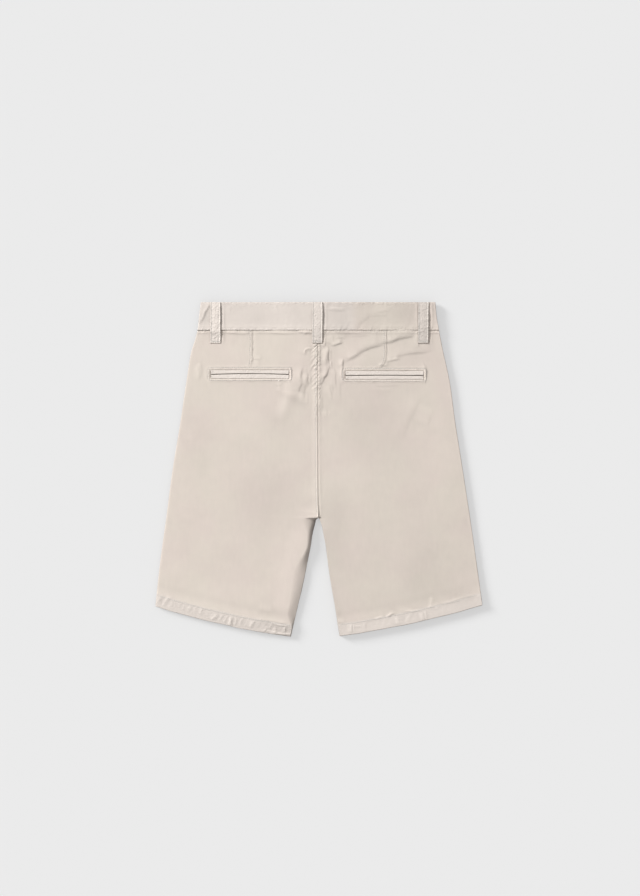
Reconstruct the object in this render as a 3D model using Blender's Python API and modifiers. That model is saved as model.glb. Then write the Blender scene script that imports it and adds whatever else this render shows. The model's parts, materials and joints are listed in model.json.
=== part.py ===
"""Boys' bermuda shorts in cotton twill, laid out flat on their front with the back up.

The frame: +X to the right as seen from above, +Y up the garment to the waist, and +Z up from
the surface that it lies on. The origin is under the middle of the laid garment. Sizes are in
millimetres, and the meshes are written in metres. Left and right are the wearer's, who lies
face down, so left is -X.

The front is a flat layer that rests on the surface. The back lies over it, and its edges turn
down to meet the front at the outseams and inseams.
"""

from collections import namedtuple

import bmesh
import bpy
import numpy as np
from mathutils import Vector
from mathutils.bvhtree import BVHTree

MM = 0.001

# ---------------------------------------------------------------- cloth

WALL = 1.0  # one layer of twill, with its nap
SEAM_GAP = 0.3  # between two pieces at a seam, and under what lies on a panel
FOLD_GAP = 0.6  # between the two layers of a folded edge
DOUBLE = 2 * WALL + FOLD_GAP  # thickness of a folded edge

# ---------------------------------------------------------------- outline

WAIST_TOP = 210.4  # y of the waistband's top edge
WAIST_SEAM = 175.8  # y of the seam between the waistband and the panels
CROTCH = -61.0  # y where the four inner seams meet
CROTCH_DROP = 5.0  # length over which the centre back seam turns down to the crotch
HEM_TURN = 15.0  # depth of the turned-up hems
HEM_BULGE = 3.6  # how far the middle of a hem hangs below the line of its corners
CENTRE_TOP_X = -1.9  # x of the centre seams at the waist
CENTRE_CROTCH_X = -0.6  # and at the crotch

Level = namedtuple("Level", "y left right")

# x of the outseams, the sides of the laid garment, down from the top of the waistband.
OUTSEAM = [
    Level(210.4, -150.6, 146.8),
    Level(175.8, -156.9, 151.6),
    Level(150.0, -162.3, 156.2),
    Level(115.0, -167.9, 163.8),
    Level(60.0, -176.2, 171.4),
    Level(0.0, -185.7, 180.9),
    Level(-60.0, -193.5, 190.4),
    Level(-120.0, -201.6, 199.2),
    Level(-172.0, -206.0, 206.0),
]

# x of the inseams, from the crotch down to the hems.
INSEAM = [
    Level(-61.0, -0.75, -0.45),
    Level(-65.0, -3.2, 1.6),
    Level(-83.0, -8.4, 6.2),
    Level(-124.0, -16.2, 14.0),
    Level(-165.0, -26.5, 21.0),
    Level(-210.0, -36.0, 26.6),
]

# For each half: the ends of its hem, how far in from its inseam the back starts to turn down,
# how rounded that turn is (1 is a straight slope), how far in the hem's inner layer starts
# there, and how much higher the back lies there.
Half = namedtuple("Half", "name sign hem_inner_y hem_outer_y roll roundness tuck lift")
LEFT = Half("left", -1, -210.6, -172.2, roll=13.0, roundness=1.5, tuck=6.0, lift=0.7)
RIGHT = Half("right", 1, -209.5, -170.6, roll=5.0, roundness=2.5, tuck=DOUBLE, lift=0.0)

OUTSEAM_ROLL = 4.0  # how far in from the outseams the back starts to turn down
OUTSEAM_ROUNDNESS = 2.5
UPRIGHT = 0.25  # share of a turned-down edge's height that stands upright, at its foot

# ---------------------------------------------------------------- how it lies

Lie = namedtuple("Lie", "y inner outer sag")

# Height of the back's outer face: beside its inner edge, beside the outseam, and how far it
# sags between the two.
LIE = [
    Lie(210.4, 7.3, 7.1, 0.1),
    Lie(175.8, 7.3, 7.0, 0.1),
    Lie(130.0, 6.6, 6.1, 0.2),
    Lie(60.0, 6.1, 5.5, 0.3),
    Lie(0.0, 6.2, 5.4, 0.3),
    Lie(-50.0, 6.6, 5.5, 0.4),
    Lie(-120.0, 6.5, 5.6, 0.3),
    Lie(-172.0, 6.6, 6.2, 0.1),
    Lie(-210.0, 6.8, 6.6, 0.0),
]

FRONT_RISE = 2.1  # the front waistband lies this high, on its belt loops and button
FRONT_RISE_TOP = 155.0  # y down to which the front panels lie as high
FRONT_RISE_FOOT = 118.0  # y below which the front panels rest on the surface

LAP_RISE = 2.7  # the back lies this much higher over the lapped ends of the waistband
LAP_MIDDLE_X = 3.0
LAP_FLAT = 36.0  # half the width of that rise's flat top
LAP_FADE = 42.0  # and how far it takes to fall away, sideways
LAP_FOOT = 112.0  # y where it has faded, down the back

Fold = namedtuple("Fold", "x0 y0 x1 y1 x2 y2 width height")

# The largest folds of the back, each a soft trough or ridge along a bend from its first point
# past the second to the third.
FOLDS = [
    Fold(29, 128, 38, 149, 124, 168, width=7.0, height=-1.1),
    Fold(39, 134, 62, 150, 118, 159, width=7.0, height=0.7),
    Fold(-15, 130, -20, 110, -33, 82, width=7.0, height=-1.1),
    Fold(131, 103, 117, 74, 98, 28, width=9.0, height=-1.1),
    Fold(-22, 26, -78, -4, -62, -66, width=12.0, height=-0.9),
    Fold(45, -34, 46, -56, 48, -82, width=10.0, height=-0.8),
    Fold(174, -70, 153, -112, 124, -165, width=15.0, height=-0.9),
    Fold(108, -20, 97, -78, 82, -130, width=10.0, height=0.6),
]
FOLD_STEPS = 24

# ---------------------------------------------------------------- trims

BAND_STEP = 0.9  # the waistband's face stands this far over the panels
BAND_LAP = 17.0  # the front waistband's left end laps this far past the centre
BAND_UNDERLAP = 20.0  # and its right end goes this far under it
BAND_BEND = 18.0  # length of the bend by which the right end rises over the left

LOOP_WIDTH = 12.6
LOOP_WALL = 1.5  # a belt loop is a folded strip
LOOP_TOP = 208.6
LOOP_BOTTOM = 159.0
LOOP_SLACK = 1.2  # how far a loop's middle stands off the waistband
BACK_LOOPS = {"left": -130.5, "centre": -1.4, "right": 131.0}  # x of the loops' middles
FRONT_LOOPS = {"left": -72.0, "right": 72.0}

WELT_CENTRES = {"left": (-87.0, 120.6), "right": (82.0, 119.0)}  # of the back pockets' slits
WELT_LENGTH = 99.0
WELT_HEIGHT = 5.4  # of each of a pocket's two lips
WELT_SLIT = 0.5

BUTTON_PLACE = (-3.0, 192.5)
BUTTON_RADIUS = 7.5
BUTTON_THICKNESS = 1.5
BUTTON_BOTTOM = 0.3
BUTTON_BEVEL = 0.4
BUTTON_HOLE_RADIUS = 0.9
BUTTON_HOLE_OFFSET = 1.5
BUTTON_SIDES = 20

# ---------------------------------------------------------------- grids

Stretch = namedtuple("Stretch", "top bottom rows")
HEM_TOP = -193.0  # y, about, of the last row above the turned-up hem

# Rows of points down a panel: closer where it bends more.
BACK_ROWS = [
    Stretch(175.65, 106.0, 10),
    Stretch(106.0, -44.0, 11),
    Stretch(-44.0, CROTCH + CROTCH_DROP, 1),
    Stretch(CROTCH + CROTCH_DROP, CROTCH, 2),
    Stretch(CROTCH, -66.0, 1),
    Stretch(-66.0, HEM_TOP, 11),
]
FRONT_ROWS = [
    Stretch(175.65, FRONT_RISE_TOP, 2),
    Stretch(FRONT_RISE_TOP, FRONT_RISE_FOOT, 5),
    Stretch(FRONT_RISE_FOOT, CROTCH, 5),
    Stretch(CROTCH, -66.0, 1),
    Stretch(-66.0, HEM_TOP, 5),
]
ROLL_STEPS = np.array([0.0, 0.15, 0.4, 0.7, 1.0])  # columns across a turned-down edge
BACK_COLUMNS = 10  # columns between the turned edges
FRONT_COLUMNS = 7
HEM_ROWS = 2
BAND_ROWS = 2
BAND_COLUMNS = 22
HALF_BAND_COLUMNS = 9
BEND_STEPS = 3  # flats round a folded edge
LOOP_ROWS = 12
WELT_COLUMNS = 18

TWILL = (0.73, 0.66, 0.59)
TWILL_ROUGHNESS = 0.9
HORN = (0.62, 0.55, 0.46)
HORN_ROUGHNESS = 0.4
SHARP_ANGLE = np.radians(50)


# ---------------------------------------------------------------- surfaces

def ease(value):
    """From 0 to 1, starting and ending level."""
    value = np.clip(value, 0.0, 1.0)
    return value * value * (3.0 - 2.0 * value)


def smooth(at, rows, column):
    """The smooth curve through one column of a table, read at the heights y given."""
    rows = sorted(rows, key=lambda row: row.y)
    y = np.array([row.y for row in rows])
    value = np.array([getattr(row, column) for row in rows])
    slope = np.gradient(value, y)
    at = np.clip(at, y[0], y[-1])
    i = np.clip(np.searchsorted(y, at) - 1, 0, len(y) - 2)
    span = y[i + 1] - y[i]
    f = (at - y[i]) / span
    start = value[i] * (1 + 2 * f) + span * slope[i] * f
    end = value[i + 1] * (3 - 2 * f) + span * slope[i + 1] * (f - 1)
    return start * (1 - f) ** 2 + end * f**2


def inner_x(half, y):
    """x of a half's inner edge: beside the centre seam, and the inseam below the crotch."""
    down = (WAIST_SEAM - y) / (WAIST_SEAM - CROTCH)
    centre = CENTRE_TOP_X + (CENTRE_CROTCH_X - CENTRE_TOP_X) * down
    return np.where(y > CROTCH, centre + half.sign * SEAM_GAP / 2, smooth(y, INSEAM, half.name))


def folds_at(x, y):
    """How much the folds raise or lower the back."""
    total = np.zeros(x.shape)
    for fold in FOLDS:
        nearest = np.full(x.shape, np.inf)
        along = np.zeros(x.shape)
        for k in np.linspace(0.0, 1.0, FOLD_STEPS):
            bend_x = (1 - k) ** 2 * fold.x0 + 2 * k * (1 - k) * fold.x1 + k * k * fold.x2
            bend_y = (1 - k) ** 2 * fold.y0 + 2 * k * (1 - k) * fold.y1 + k * k * fold.y2
            distance = np.hypot(x - bend_x, y - bend_y)
            along = np.where(distance < nearest, k, along)
            nearest = np.minimum(nearest, distance)
        strength = 0.35 + 0.65 * np.sin(np.pi * along)
        total += fold.height * strength * np.exp(-((nearest / fold.width) ** 2))
    return total


def lap_rise(x, y):
    """How much higher the back lies over the lapped ends of the front waistband."""
    sideways = 1 - ease((np.abs(x - LAP_MIDDLE_X) - LAP_FLAT) / LAP_FADE)
    return LAP_RISE * sideways * ease((y - LAP_FOOT) / (WAIST_SEAM - LAP_FOOT))


def back_height(across, x, y, lift=0.0):
    """Height of the back's outer face. across is 0 at the inner edge and 1 at the outseam."""
    inner = smooth(y, LIE, "inner") + lift * ease((CROTCH - y) / HEM_TURN)
    outer = smooth(y, LIE, "outer")
    sag = smooth(y, LIE, "sag") * np.sin(np.pi * np.clip(across, 0, 1))
    return inner + (outer - inner) * ease(across) - sag + lap_rise(x, y) + folds_at(x, y)


def front_height(y):
    """Height of the front panels' outer face, which is their underside."""
    return FRONT_RISE * ease((y - FRONT_RISE_FOOT) / (FRONT_RISE_TOP - FRONT_RISE_FOOT))


def turned_edge(roll, roundness, turn):
    """Columns at an edge that turns down: how far in they are, and the share of the height there
    that they reach. turn is 1 on the rows that turn down, and 0 on those that stay level."""
    level = np.linspace(0, 1, len(ROLL_STEPS) + 1)[1:]
    distance = roll * (turn * ROLL_STEPS + (1 - turn) * level)
    share = 1 - (1 - UPRIGHT) * (1 - ROLL_STEPS) ** roundness
    foot = np.zeros_like(turn)
    return np.hstack([foot, distance]), np.hstack([1 - turn, 1 - turn * (1 - share)])


def spread(half, levels, near, far, middles):
    """x, y and across of a half's points, in rows from the waist down and from the inner edge
    out. near and far are the distances of the columns at its two edges, in from the edge."""
    down = ((WAIST_SEAM - levels) / (WAIST_SEAM - half.hem_inner_y))[:, None]
    inner_y = levels[:, None]
    outer_y = WAIST_SEAM + (half.hem_outer_y - WAIST_SEAM) * down
    start_x = inner_x(half, inner_y)
    run_x = smooth(outer_y, OUTSEAM, half.name) - start_x
    span = np.hypot(run_x, outer_y - inner_y)
    first = near[:, -1:]
    last = span - far[:, -1:]
    middle = first + (last - first) * np.linspace(0, 1, middles + 2)[1:-1]
    across = np.hstack([near, middle, span - far[:, ::-1]]) / span
    bulge = HEM_BULGE * ease(2 * down - 1) * 4 * across * (1 - across)
    return start_x + run_x * across, inner_y + (outer_y - inner_y) * across - bulge, across


def back_half(half, levels, hem_top, inset=0.0):
    """Outer face of one half of the back, or with an inset the face of a layer inside it.

    Its edges come down on the front, which is two layers thick from hem_top down."""
    turn = ease((CROTCH + CROTCH_DROP - levels) / CROTCH_DROP)[:, None]
    tuck = half.tuck if inset else 0.0
    near, near_share = turned_edge(half.roll - tuck, half.roundness, turn)
    far, far_share = turned_edge(OUTSEAM_ROLL - inset, OUTSEAM_ROUNDNESS, np.ones_like(turn))
    x, y, across = spread(half, levels, tuck + near, inset + far, BACK_COLUMNS)
    share = np.hstack([near_share, np.ones((len(levels), BACK_COLUMNS)), far_share[:, ::-1]])
    under = np.where(levels > hem_top, WALL, DOUBLE)[:, None]
    foot = front_height(y) + under + SEAM_GAP
    top = back_height(across, x, y, half.lift) - inset
    return np.stack([x, y, foot + (top - foot) * share], axis=2)


def front_half(half, levels, inset=0.0):
    """Outer face of one half of the front, or with an inset that of a layer that lies on it."""
    edge = np.zeros((len(levels), 1))
    x, y, _ = spread(half, levels, edge, edge, FRONT_COLUMNS)
    return np.stack([x, y, front_height(y) + inset], axis=2)


def folded(outer, inner):
    """The outer rows, the bend at their end, and the inner rows back from it, as one grid."""
    middle = (outer[-1] + inner[-1]) / 2
    radius = (outer[-1] - inner[-1]) / 2
    ahead = outer[-1] - outer[-2]
    ahead *= DOUBLE / 2 / np.linalg.norm(ahead, axis=1, keepdims=True)
    angles = np.linspace(0, np.pi, BEND_STEPS + 1)[1:-1]
    bend = [middle + np.cos(angle) * radius + np.sin(angle) * ahead for angle in angles]
    return np.concatenate([outer, bend, inner[::-1]])


def levels_of(half, stretches):
    """Heights y of a panel's rows down to its hem, and of those that its hem turns up over."""
    edge = half.hem_inner_y + DOUBLE / 2
    hem = np.linspace(edge + HEM_TURN, edge, HEM_ROWS + 1)
    rows = [np.linspace(s.top, s.bottom, s.rows + 1)[:-1] for s in stretches]
    return np.concatenate([*rows, hem]), hem


def band_rows():
    return np.linspace(WAIST_SEAM + SEAM_GAP / 2, WAIST_TOP - DOUBLE / 2, BAND_ROWS + 1)[:, None]


def back_band(inset=0.0):
    """The back waistband's face, in rows from its seam up and from the left to the right."""
    y = band_rows()
    edge, share = turned_edge(OUTSEAM_ROLL - inset, OUTSEAM_ROUNDNESS, np.ones_like(y))
    left = smooth(y, OUTSEAM, "left") + inset
    right = smooth(y, OUTSEAM, "right") - inset
    first = left + edge[:, -1:]
    last = right - edge[:, -1:]
    middle = first + (last - first) * np.linspace(0, 1, BAND_COLUMNS + 2)[1:-1]
    x = np.hstack([left + edge, middle, right - edge[:, ::-1]])
    share = np.hstack([share, np.ones_like(middle), share[:, ::-1]])
    y = np.broadcast_to(y, x.shape)
    across = (x - CENTRE_TOP_X) / np.where(x < CENTRE_TOP_X, left, right)
    foot = FRONT_RISE + DOUBLE + SEAM_GAP
    top = back_height(across, x, y) + BAND_STEP - inset
    return np.stack([x, y, foot + (top - foot) * share], axis=2)


def front_band(half, inset=0.0):
    """The face of one half of the front waistband, in rows up and from the outseam inwards.

    The left end laps under the centre. The right end bends up to lie over it."""
    y = band_rows()
    outer = smooth(y, OUTSEAM, half.name)
    end = CENTRE_TOP_X + (BAND_LAP if half is LEFT else -BAND_UNDERLAP)
    bend = CENTRE_TOP_X + BAND_LAP + SEAM_GAP
    plain = outer + (bend + BAND_BEND - outer) * np.linspace(0, 1, HALF_BAND_COLUMNS)[None, :]
    lapped = np.linspace(bend + BAND_BEND, end, HALF_BAND_COLUMNS)[None, 1:]
    x = np.hstack([plain, np.repeat(lapped, len(y), axis=0)])
    if half is LEFT:
        x = outer + (end - outer) * np.linspace(0, 1, HALF_BAND_COLUMNS)[None, :]
    y = np.broadcast_to(y, x.shape)
    risen = ease((bend + BAND_BEND - x) / BAND_BEND) if half is RIGHT else np.zeros(x.shape)
    return np.stack([x, y, FRONT_RISE + inset + (DOUBLE + SEAM_GAP) * risen], axis=2)


# ---------------------------------------------------------------- objects

def start_scene():
    """Clear the scene, and make the collections for the garment and for its cutters."""
    for item in list(bpy.data.objects):
        bpy.data.objects.remove(item, do_unlink=True)
    made = []
    for name in ("bermuda_shorts", "cutters"):
        collection = bpy.data.collections.new(name)
        bpy.context.scene.collection.children.link(collection)
        made.append(collection)
    return made


def material(name, colour, roughness):
    made = bpy.data.materials.new(name)
    made.use_nodes = True
    shader = made.node_tree.nodes["Principled BSDF"]
    shader.inputs["Base Color"].default_value = (*colour, 1.0)
    shader.inputs["Roughness"].default_value = roughness
    return made


def add_piece(name, sheet, colour):
    """An object in the garment's collection from a bmesh, with a material of its own."""
    mesh = bpy.data.meshes.new(name)
    sheet.to_mesh(mesh)
    sheet.free()
    mesh.materials.append(material(name, *colour))
    mesh.shade_smooth()
    mesh.set_sharp_from_angle(angle=SHARP_ANGLE)
    piece = bpy.data.objects.new(name, mesh)
    garment.objects.link(piece)
    return piece


def cloth(name, grid, faces_up, thickness=WALL):
    """A wall of cloth whose outer face has the grid's points. faces_up says which way that face
    looks where the grid starts, and the wall's other face is behind it."""
    rows, columns = grid.shape[:2]
    sheet = bmesh.new()
    bmesh.ops.create_grid(sheet, x_segments=columns - 1, y_segments=rows - 1, size=0.5)
    for vertex in sheet.verts:
        row = round((0.5 - vertex.co.y) * (rows - 1))
        column = round((vertex.co.x + 0.5) * (columns - 1))
        vertex.co = grid[row, column] * MM
    first_row = np.cross(grid[1, :-1] - grid[0, :-1], np.diff(grid[0], axis=0))
    if (first_row[:, 2].sum() > 0) != faces_up:
        bmesh.ops.reverse_faces(sheet, faces=sheet.faces)
    piece = add_piece(name, sheet, (TWILL, TWILL_ROUGHNESS))
    wall = piece.modifiers.new("wall", "SOLIDIFY")
    wall.thickness = thickness * MM
    wall.offset = -1.0
    return piece


def ground_under(pieces):
    """Reads the height of the pieces' upper faces at any x and y."""
    depsgraph = bpy.context.evaluated_depsgraph_get()
    trees = [BVHTree.FromObject(piece, depsgraph) for piece in pieces]

    def height(x, y):
        hits = [tree.ray_cast(Vector((x * MM, y * MM, 1.0)), Vector((0, 0, -1))) for tree in trees]
        return max((hit[0].z / MM for hit in hits if hit[0]), default=0.0)

    return height


def add_panels():
    """The four panels: each half of the back and of the front, hems turned up inside."""
    backs = []
    for half in (LEFT, RIGHT):
        levels, hem = levels_of(half, BACK_ROWS)
        grid = folded(back_half(half, levels, hem[0]), back_half(half, hem, hem[0], DOUBLE))
        backs.append(cloth(f"back_{half.name}", grid, faces_up=True))
        levels, hem = levels_of(half, FRONT_ROWS)
        grid = folded(front_half(half, levels), front_half(half, hem, DOUBLE))
        cloth(f"front_{half.name}", grid, faces_up=False)
    return backs


def add_waistband():
    """The back waistband in one piece and the front one in two, each folded at its top."""
    for half in (LEFT, RIGHT):
        grid = folded(front_band(half), front_band(half, DOUBLE))
        cloth(f"waistband_front_{half.name}", grid, faces_up=False)
    return cloth("waistband_back", folded(back_band(), back_band(DOUBLE)), faces_up=True)


def add_back_loops(ground):
    """The belt loops of the back, which bow out over the waistband and end on the panels."""
    t = np.linspace(0, 1, LOOP_ROWS + 1)
    for name, middle in BACK_LOOPS.items():
        x = middle + LOOP_WIDTH * np.linspace(-0.5, 0.5, 4)
        y = LOOP_TOP + (LOOP_BOTTOM - LOOP_TOP) * t
        base = np.array([max(ground(px, py) for px in x) for py in y])
        crest = np.array([base[max(i - 1, 0) : i + 2].max() for i in range(len(y))])
        top = crest + SEAM_GAP + LOOP_WALL + LOOP_SLACK * np.sin(np.pi * t) ** 0.7
        grid = np.stack(np.broadcast_arrays(x, y[:, None], top[:, None]), axis=2)
        cloth(f"belt_loop_back_{name}", grid, faces_up=True, thickness=LOOP_WALL)


def add_front_loops():
    """The belt loops of the front, pressed flat under it."""
    for name, middle in FRONT_LOOPS.items():
        x = middle + LOOP_WIDTH * np.linspace(-0.5, 0.5, 2)
        y = np.linspace(LOOP_TOP, LOOP_BOTTOM, 3)[:, None]
        z = FRONT_RISE - SEAM_GAP - LOOP_WALL
        cloth(f"belt_loop_front_{name}", np.stack(np.broadcast_arrays(x, y, z), axis=2),
              faces_up=False, thickness=LOOP_WALL)


def add_welts(ground):
    """The two lips of each back pocket, which lie on the panel either side of its slit."""
    for side, (middle_x, middle_y) in WELT_CENTRES.items():
        for name, sign in (("upper", 1), ("lower", -1)):
            near = middle_y + sign * WELT_SLIT / 2
            y = np.linspace(near, near + sign * WELT_HEIGHT, 3)
            x = middle_x + WELT_LENGTH * np.linspace(-0.5, 0.5, WELT_COLUMNS + 1)
            z = [[ground(px, py) + SEAM_GAP + WALL for px in x] for py in y]
            grid = np.stack(np.broadcast_arrays(x, y[:, None], np.array(z)), axis=2)
            cloth(f"welt_{side}_{name}", grid, faces_up=True)


def add_button():
    """The button under the waistband's left end, with four holes for its thread."""
    x, y = BUTTON_PLACE
    middle = (x * MM, y * MM, (BUTTON_BOTTOM + BUTTON_THICKNESS / 2) * MM)
    disc = bmesh.new()
    bmesh.ops.create_cone(
        disc, cap_ends=True, segments=BUTTON_SIDES, radius1=BUTTON_RADIUS * MM,
        radius2=BUTTON_RADIUS * MM, depth=BUTTON_THICKNESS * MM,
    )
    button = add_piece("button", disc, (HORN, HORN_ROUGHNESS))
    button.location = middle
    rim = button.modifiers.new("rim", "BEVEL")
    rim.width = BUTTON_BEVEL * MM
    rim.segments = 2
    for row in (-1, 1):
        for column in (-1, 1):
            drill = bmesh.new()
            bmesh.ops.create_cone(
                drill, cap_ends=True, segments=10, radius1=BUTTON_HOLE_RADIUS * MM,
                radius2=BUTTON_HOLE_RADIUS * MM, depth=2 * BUTTON_THICKNESS * MM,
            )
            mesh = bpy.data.meshes.new("drill")
            drill.to_mesh(mesh)
            drill.free()
            cutter = bpy.data.objects.new("drill", mesh)
            cutter.location = (
                middle[0] + column * BUTTON_HOLE_OFFSET * MM,
                middle[1] + row * BUTTON_HOLE_OFFSET * MM,
                middle[2],
            )
            cutter.hide_render = True
            cutter.display_type = "WIRE"
            cutters.objects.link(cutter)
            hole = button.modifiers.new("hole", "BOOLEAN")
            hole.object = cutter
            hole.operation = "DIFFERENCE"


garment, cutters = start_scene()
backs = add_panels()
band = add_waistband()
add_back_loops(ground_under([*backs, band]))
add_front_loops()
add_welts(ground_under(backs))
add_button()
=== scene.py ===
"""The looks of a child's bermuda shorts in washed cotton twill, laid out with the back up.

Sizes are in millimetres in the garment's own frame, and a mesh's points become metres when it
is made: +X to the right as seen from above, +Y up to the waist, +Z up from the surface. Left
and right are the wearer's, so left is -X. Brightness and colour are linear.
"""

import json
from collections import namedtuple
from functools import cached_property

import bmesh
import bpy
import numpy as np
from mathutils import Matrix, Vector
from mathutils.bvhtree import BVHTree

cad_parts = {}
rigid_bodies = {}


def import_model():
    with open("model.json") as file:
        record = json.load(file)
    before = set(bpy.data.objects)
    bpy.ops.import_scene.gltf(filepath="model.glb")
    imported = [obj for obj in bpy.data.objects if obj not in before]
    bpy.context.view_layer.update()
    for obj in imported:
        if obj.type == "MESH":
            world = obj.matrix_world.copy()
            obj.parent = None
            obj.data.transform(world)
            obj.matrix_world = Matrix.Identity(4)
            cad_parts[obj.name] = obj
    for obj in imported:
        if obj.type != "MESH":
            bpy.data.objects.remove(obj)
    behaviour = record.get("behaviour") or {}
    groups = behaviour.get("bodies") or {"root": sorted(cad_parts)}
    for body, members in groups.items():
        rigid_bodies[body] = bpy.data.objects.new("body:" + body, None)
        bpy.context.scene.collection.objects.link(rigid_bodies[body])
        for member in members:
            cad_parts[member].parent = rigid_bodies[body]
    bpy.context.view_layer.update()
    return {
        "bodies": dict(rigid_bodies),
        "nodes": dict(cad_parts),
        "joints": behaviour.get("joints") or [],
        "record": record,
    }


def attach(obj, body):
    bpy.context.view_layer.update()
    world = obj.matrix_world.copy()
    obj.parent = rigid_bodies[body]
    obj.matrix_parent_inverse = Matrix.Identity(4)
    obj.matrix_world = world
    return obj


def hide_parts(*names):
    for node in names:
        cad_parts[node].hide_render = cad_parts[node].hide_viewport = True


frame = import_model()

MM = 0.001


def table(kind, *rows):
    """A table's rows, with a name for each of their columns."""
    return [kind(*row) for row in rows]


# ---------------------------------------------------------------- cloth

WALL = 0.7  # one layer of twill
FOLD_GAP = 0.3  # between the two layers of a folded edge
DOUBLE = 2 * WALL + FOLD_GAP

# ---------------------------------------------------------------- outline

WAIST_TOP = 210.4
WAIST_SEAM = 175.0
CROTCH = -61.0
LEDGE = -61.2  # y of the ledge over the crotch, where the legs start to turn down
LEDGE_DROP = 1.0
HEM_TURN = 15.0
HEM_BULGE = 3.6  # how far the middle of a hem hangs below the line of its corners
HEM_WAVE = 0.35  # unevenness of the hems' edges
HEM_LIFT = 0.9  # how far the right hem's edge stands up
HEM_PUCKER = {"left": 2.6, "right": 4.4}  # how wide the hems' puckers are
INSEAM_RIDGE = 0.5  # the seam's allowance lifts the right leg's inner edge
CENTRE_TOP_X = -2.1
CENTRE_CROTCH_X = -0.6

Level = namedtuple("Level", "y left right")

# x of the outseams, down from the top of the waistband.
OUTSEAM = table(
    Level,
    (210.4, -148.8, 146.4), (190.0, -151.2, 148.4), (176.0, -152.8, 150.9), (168.0, -154.6, 152.4),
    (150.0, -160.2, 156.0), (115.0, -166.3, 163.8), (60.0, -174.5, 171.6), (0.0, -184.3, 181.0),
    (-60.0, -192.3, 190.2), (-120.0, -200.4, 198.8), (-172.0, -206.0, 206.0),
)

# x of the inseams, down from the crotch.
INSEAM = table(
    Level,
    (-61.0, -0.8, -0.4), (-63.0, -3.3, 0.9), (-67.0, -4.5, 2.3), (-74.0, -6.4, 4.2),
    (-83.0, -8.4, 5.9), (-96.0, -10.3, 8.4), (-108.0, -12.7, 10.0), (-121.0, -15.4, 11.6),
    (-134.0, -17.9, 13.4), (-152.0, -21.8, 16.4), (-171.0, -26.4, 19.8), (-188.0, -30.3, 22.4),
    (-210.0, -35.2, 25.9),
)

# How far in from the inner edges the back starts to turn down, and how much higher than the
# rest of it the leg stands there.
ROLL = table(
    Level,
    (-56.0, 7.0, 7.0), (-61.5, 15.0, 1.4), (-74.0, 12.5, 1.0), (-83.0, 7.5, 1.0),
    (-95.0, 5.5, 1.0), (-108.0, 8.0, 1.0), (-114.0, 10.5, 1.0), (-133.0, 15.5, 1.0),
    (-152.0, 13.5, 1.0), (-171.0, 11.0, 1.0), (-186.0, 10.0, 1.0), (-192.0, 6.5, 1.0),
    (-198.0, 2.6, 1.0), (-210.0, 1.9, 1.0),
)
CREST = table(
    Level,
    (-40.0, 0.4, 0.0), (-61.0, 1.8, 0.0), (-89.0, 2.4, 0.0), (-133.0, 2.1, 0.0),
    (-170.0, 1.6, 0.0), (-190.0, 0.6, 0.0), (-210.0, -0.6, 0.0),
)
CREST_WIDTH = 34.0  # how far the leg rises towards its crest

# How the left leg turns down towards its inner edge: the two exponents of its curve, rounder
# where they are high and straight where they are 1, and how far over the front it ends.
Fall = namedtuple("Fall", "y start end lift")
LEFT_FALL = table(
    Fall,
    (-61.0, 1.6, 1.5, 0.0), (-72.0, 1.8, 1.7, 0.0), (-80.0, 2.0, 2.0, 0.0), (-99.0, 2.0, 2.0, 0.2),
    (-107.0, 2.0, 1.3, 1.2), (-115.0, 2.0, 1.0, 2.6), (-130.0, 1.7, 1.0, 3.8),
    (-152.0, 1.6, 1.0, 3.8), (-171.0, 1.4, 1.0, 3.6), (-187.0, 1.4, 1.0, 3.2),
    (-197.0, 2.0, 1.5, 2.4), (-210.0, 2.5, 2.0, 0.8),
)

Half = namedtuple("Half", "name sign hem_inner_y hem_outer_y tuck")
LEFT = Half("left", -1, -210.6, -172.2, tuck=0.9)
RIGHT = Half("right", 1, -209.5, -170.6, tuck=0.6)

EDGE_ROLL = 0.9  # width of the turn-down at the outseams
EDGE_CURVE = (3.0, 3.0)
SEAM_LAP = 0.35  # the left half laps this far over the right one at the centre seam

# ---------------------------------------------------------------- how it lies

Lie = namedtuple("Lie", "y inner outer sag")

LIE = table(
    Lie,
    (210.4, 7.6, 7.2, 0.0), (175.8, 7.6, 7.0, 0.1), (130.0, 7.4, 6.0, 0.0), (60.0, 7.4, 5.4, -0.2),
    (0.0, 7.4, 5.3, -0.2), (-50.0, 7.6, 5.3, 0.0), (-120.0, 7.0, 5.5, 0.2),
    (-172.0, 6.8, 6.1, 0.1), (-210.0, 6.8, 6.5, 0.0),
)

FRONT_RISE = 2.1  # the front waistband lies this high, on its belt loops and button
FRONT_RISE_TOP = 155.0
FRONT_RISE_FOOT = 118.0

LAP_RISE = 2.4  # the back lies this much higher over the lapped ends of the waistband
LAP_MIDDLE_X = 3.0
LAP_FLAT = 36.0
LAP_FADE = 42.0
LAP_FOOT = 112.0

Crease = namedtuple("Crease", "width height path")

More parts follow.
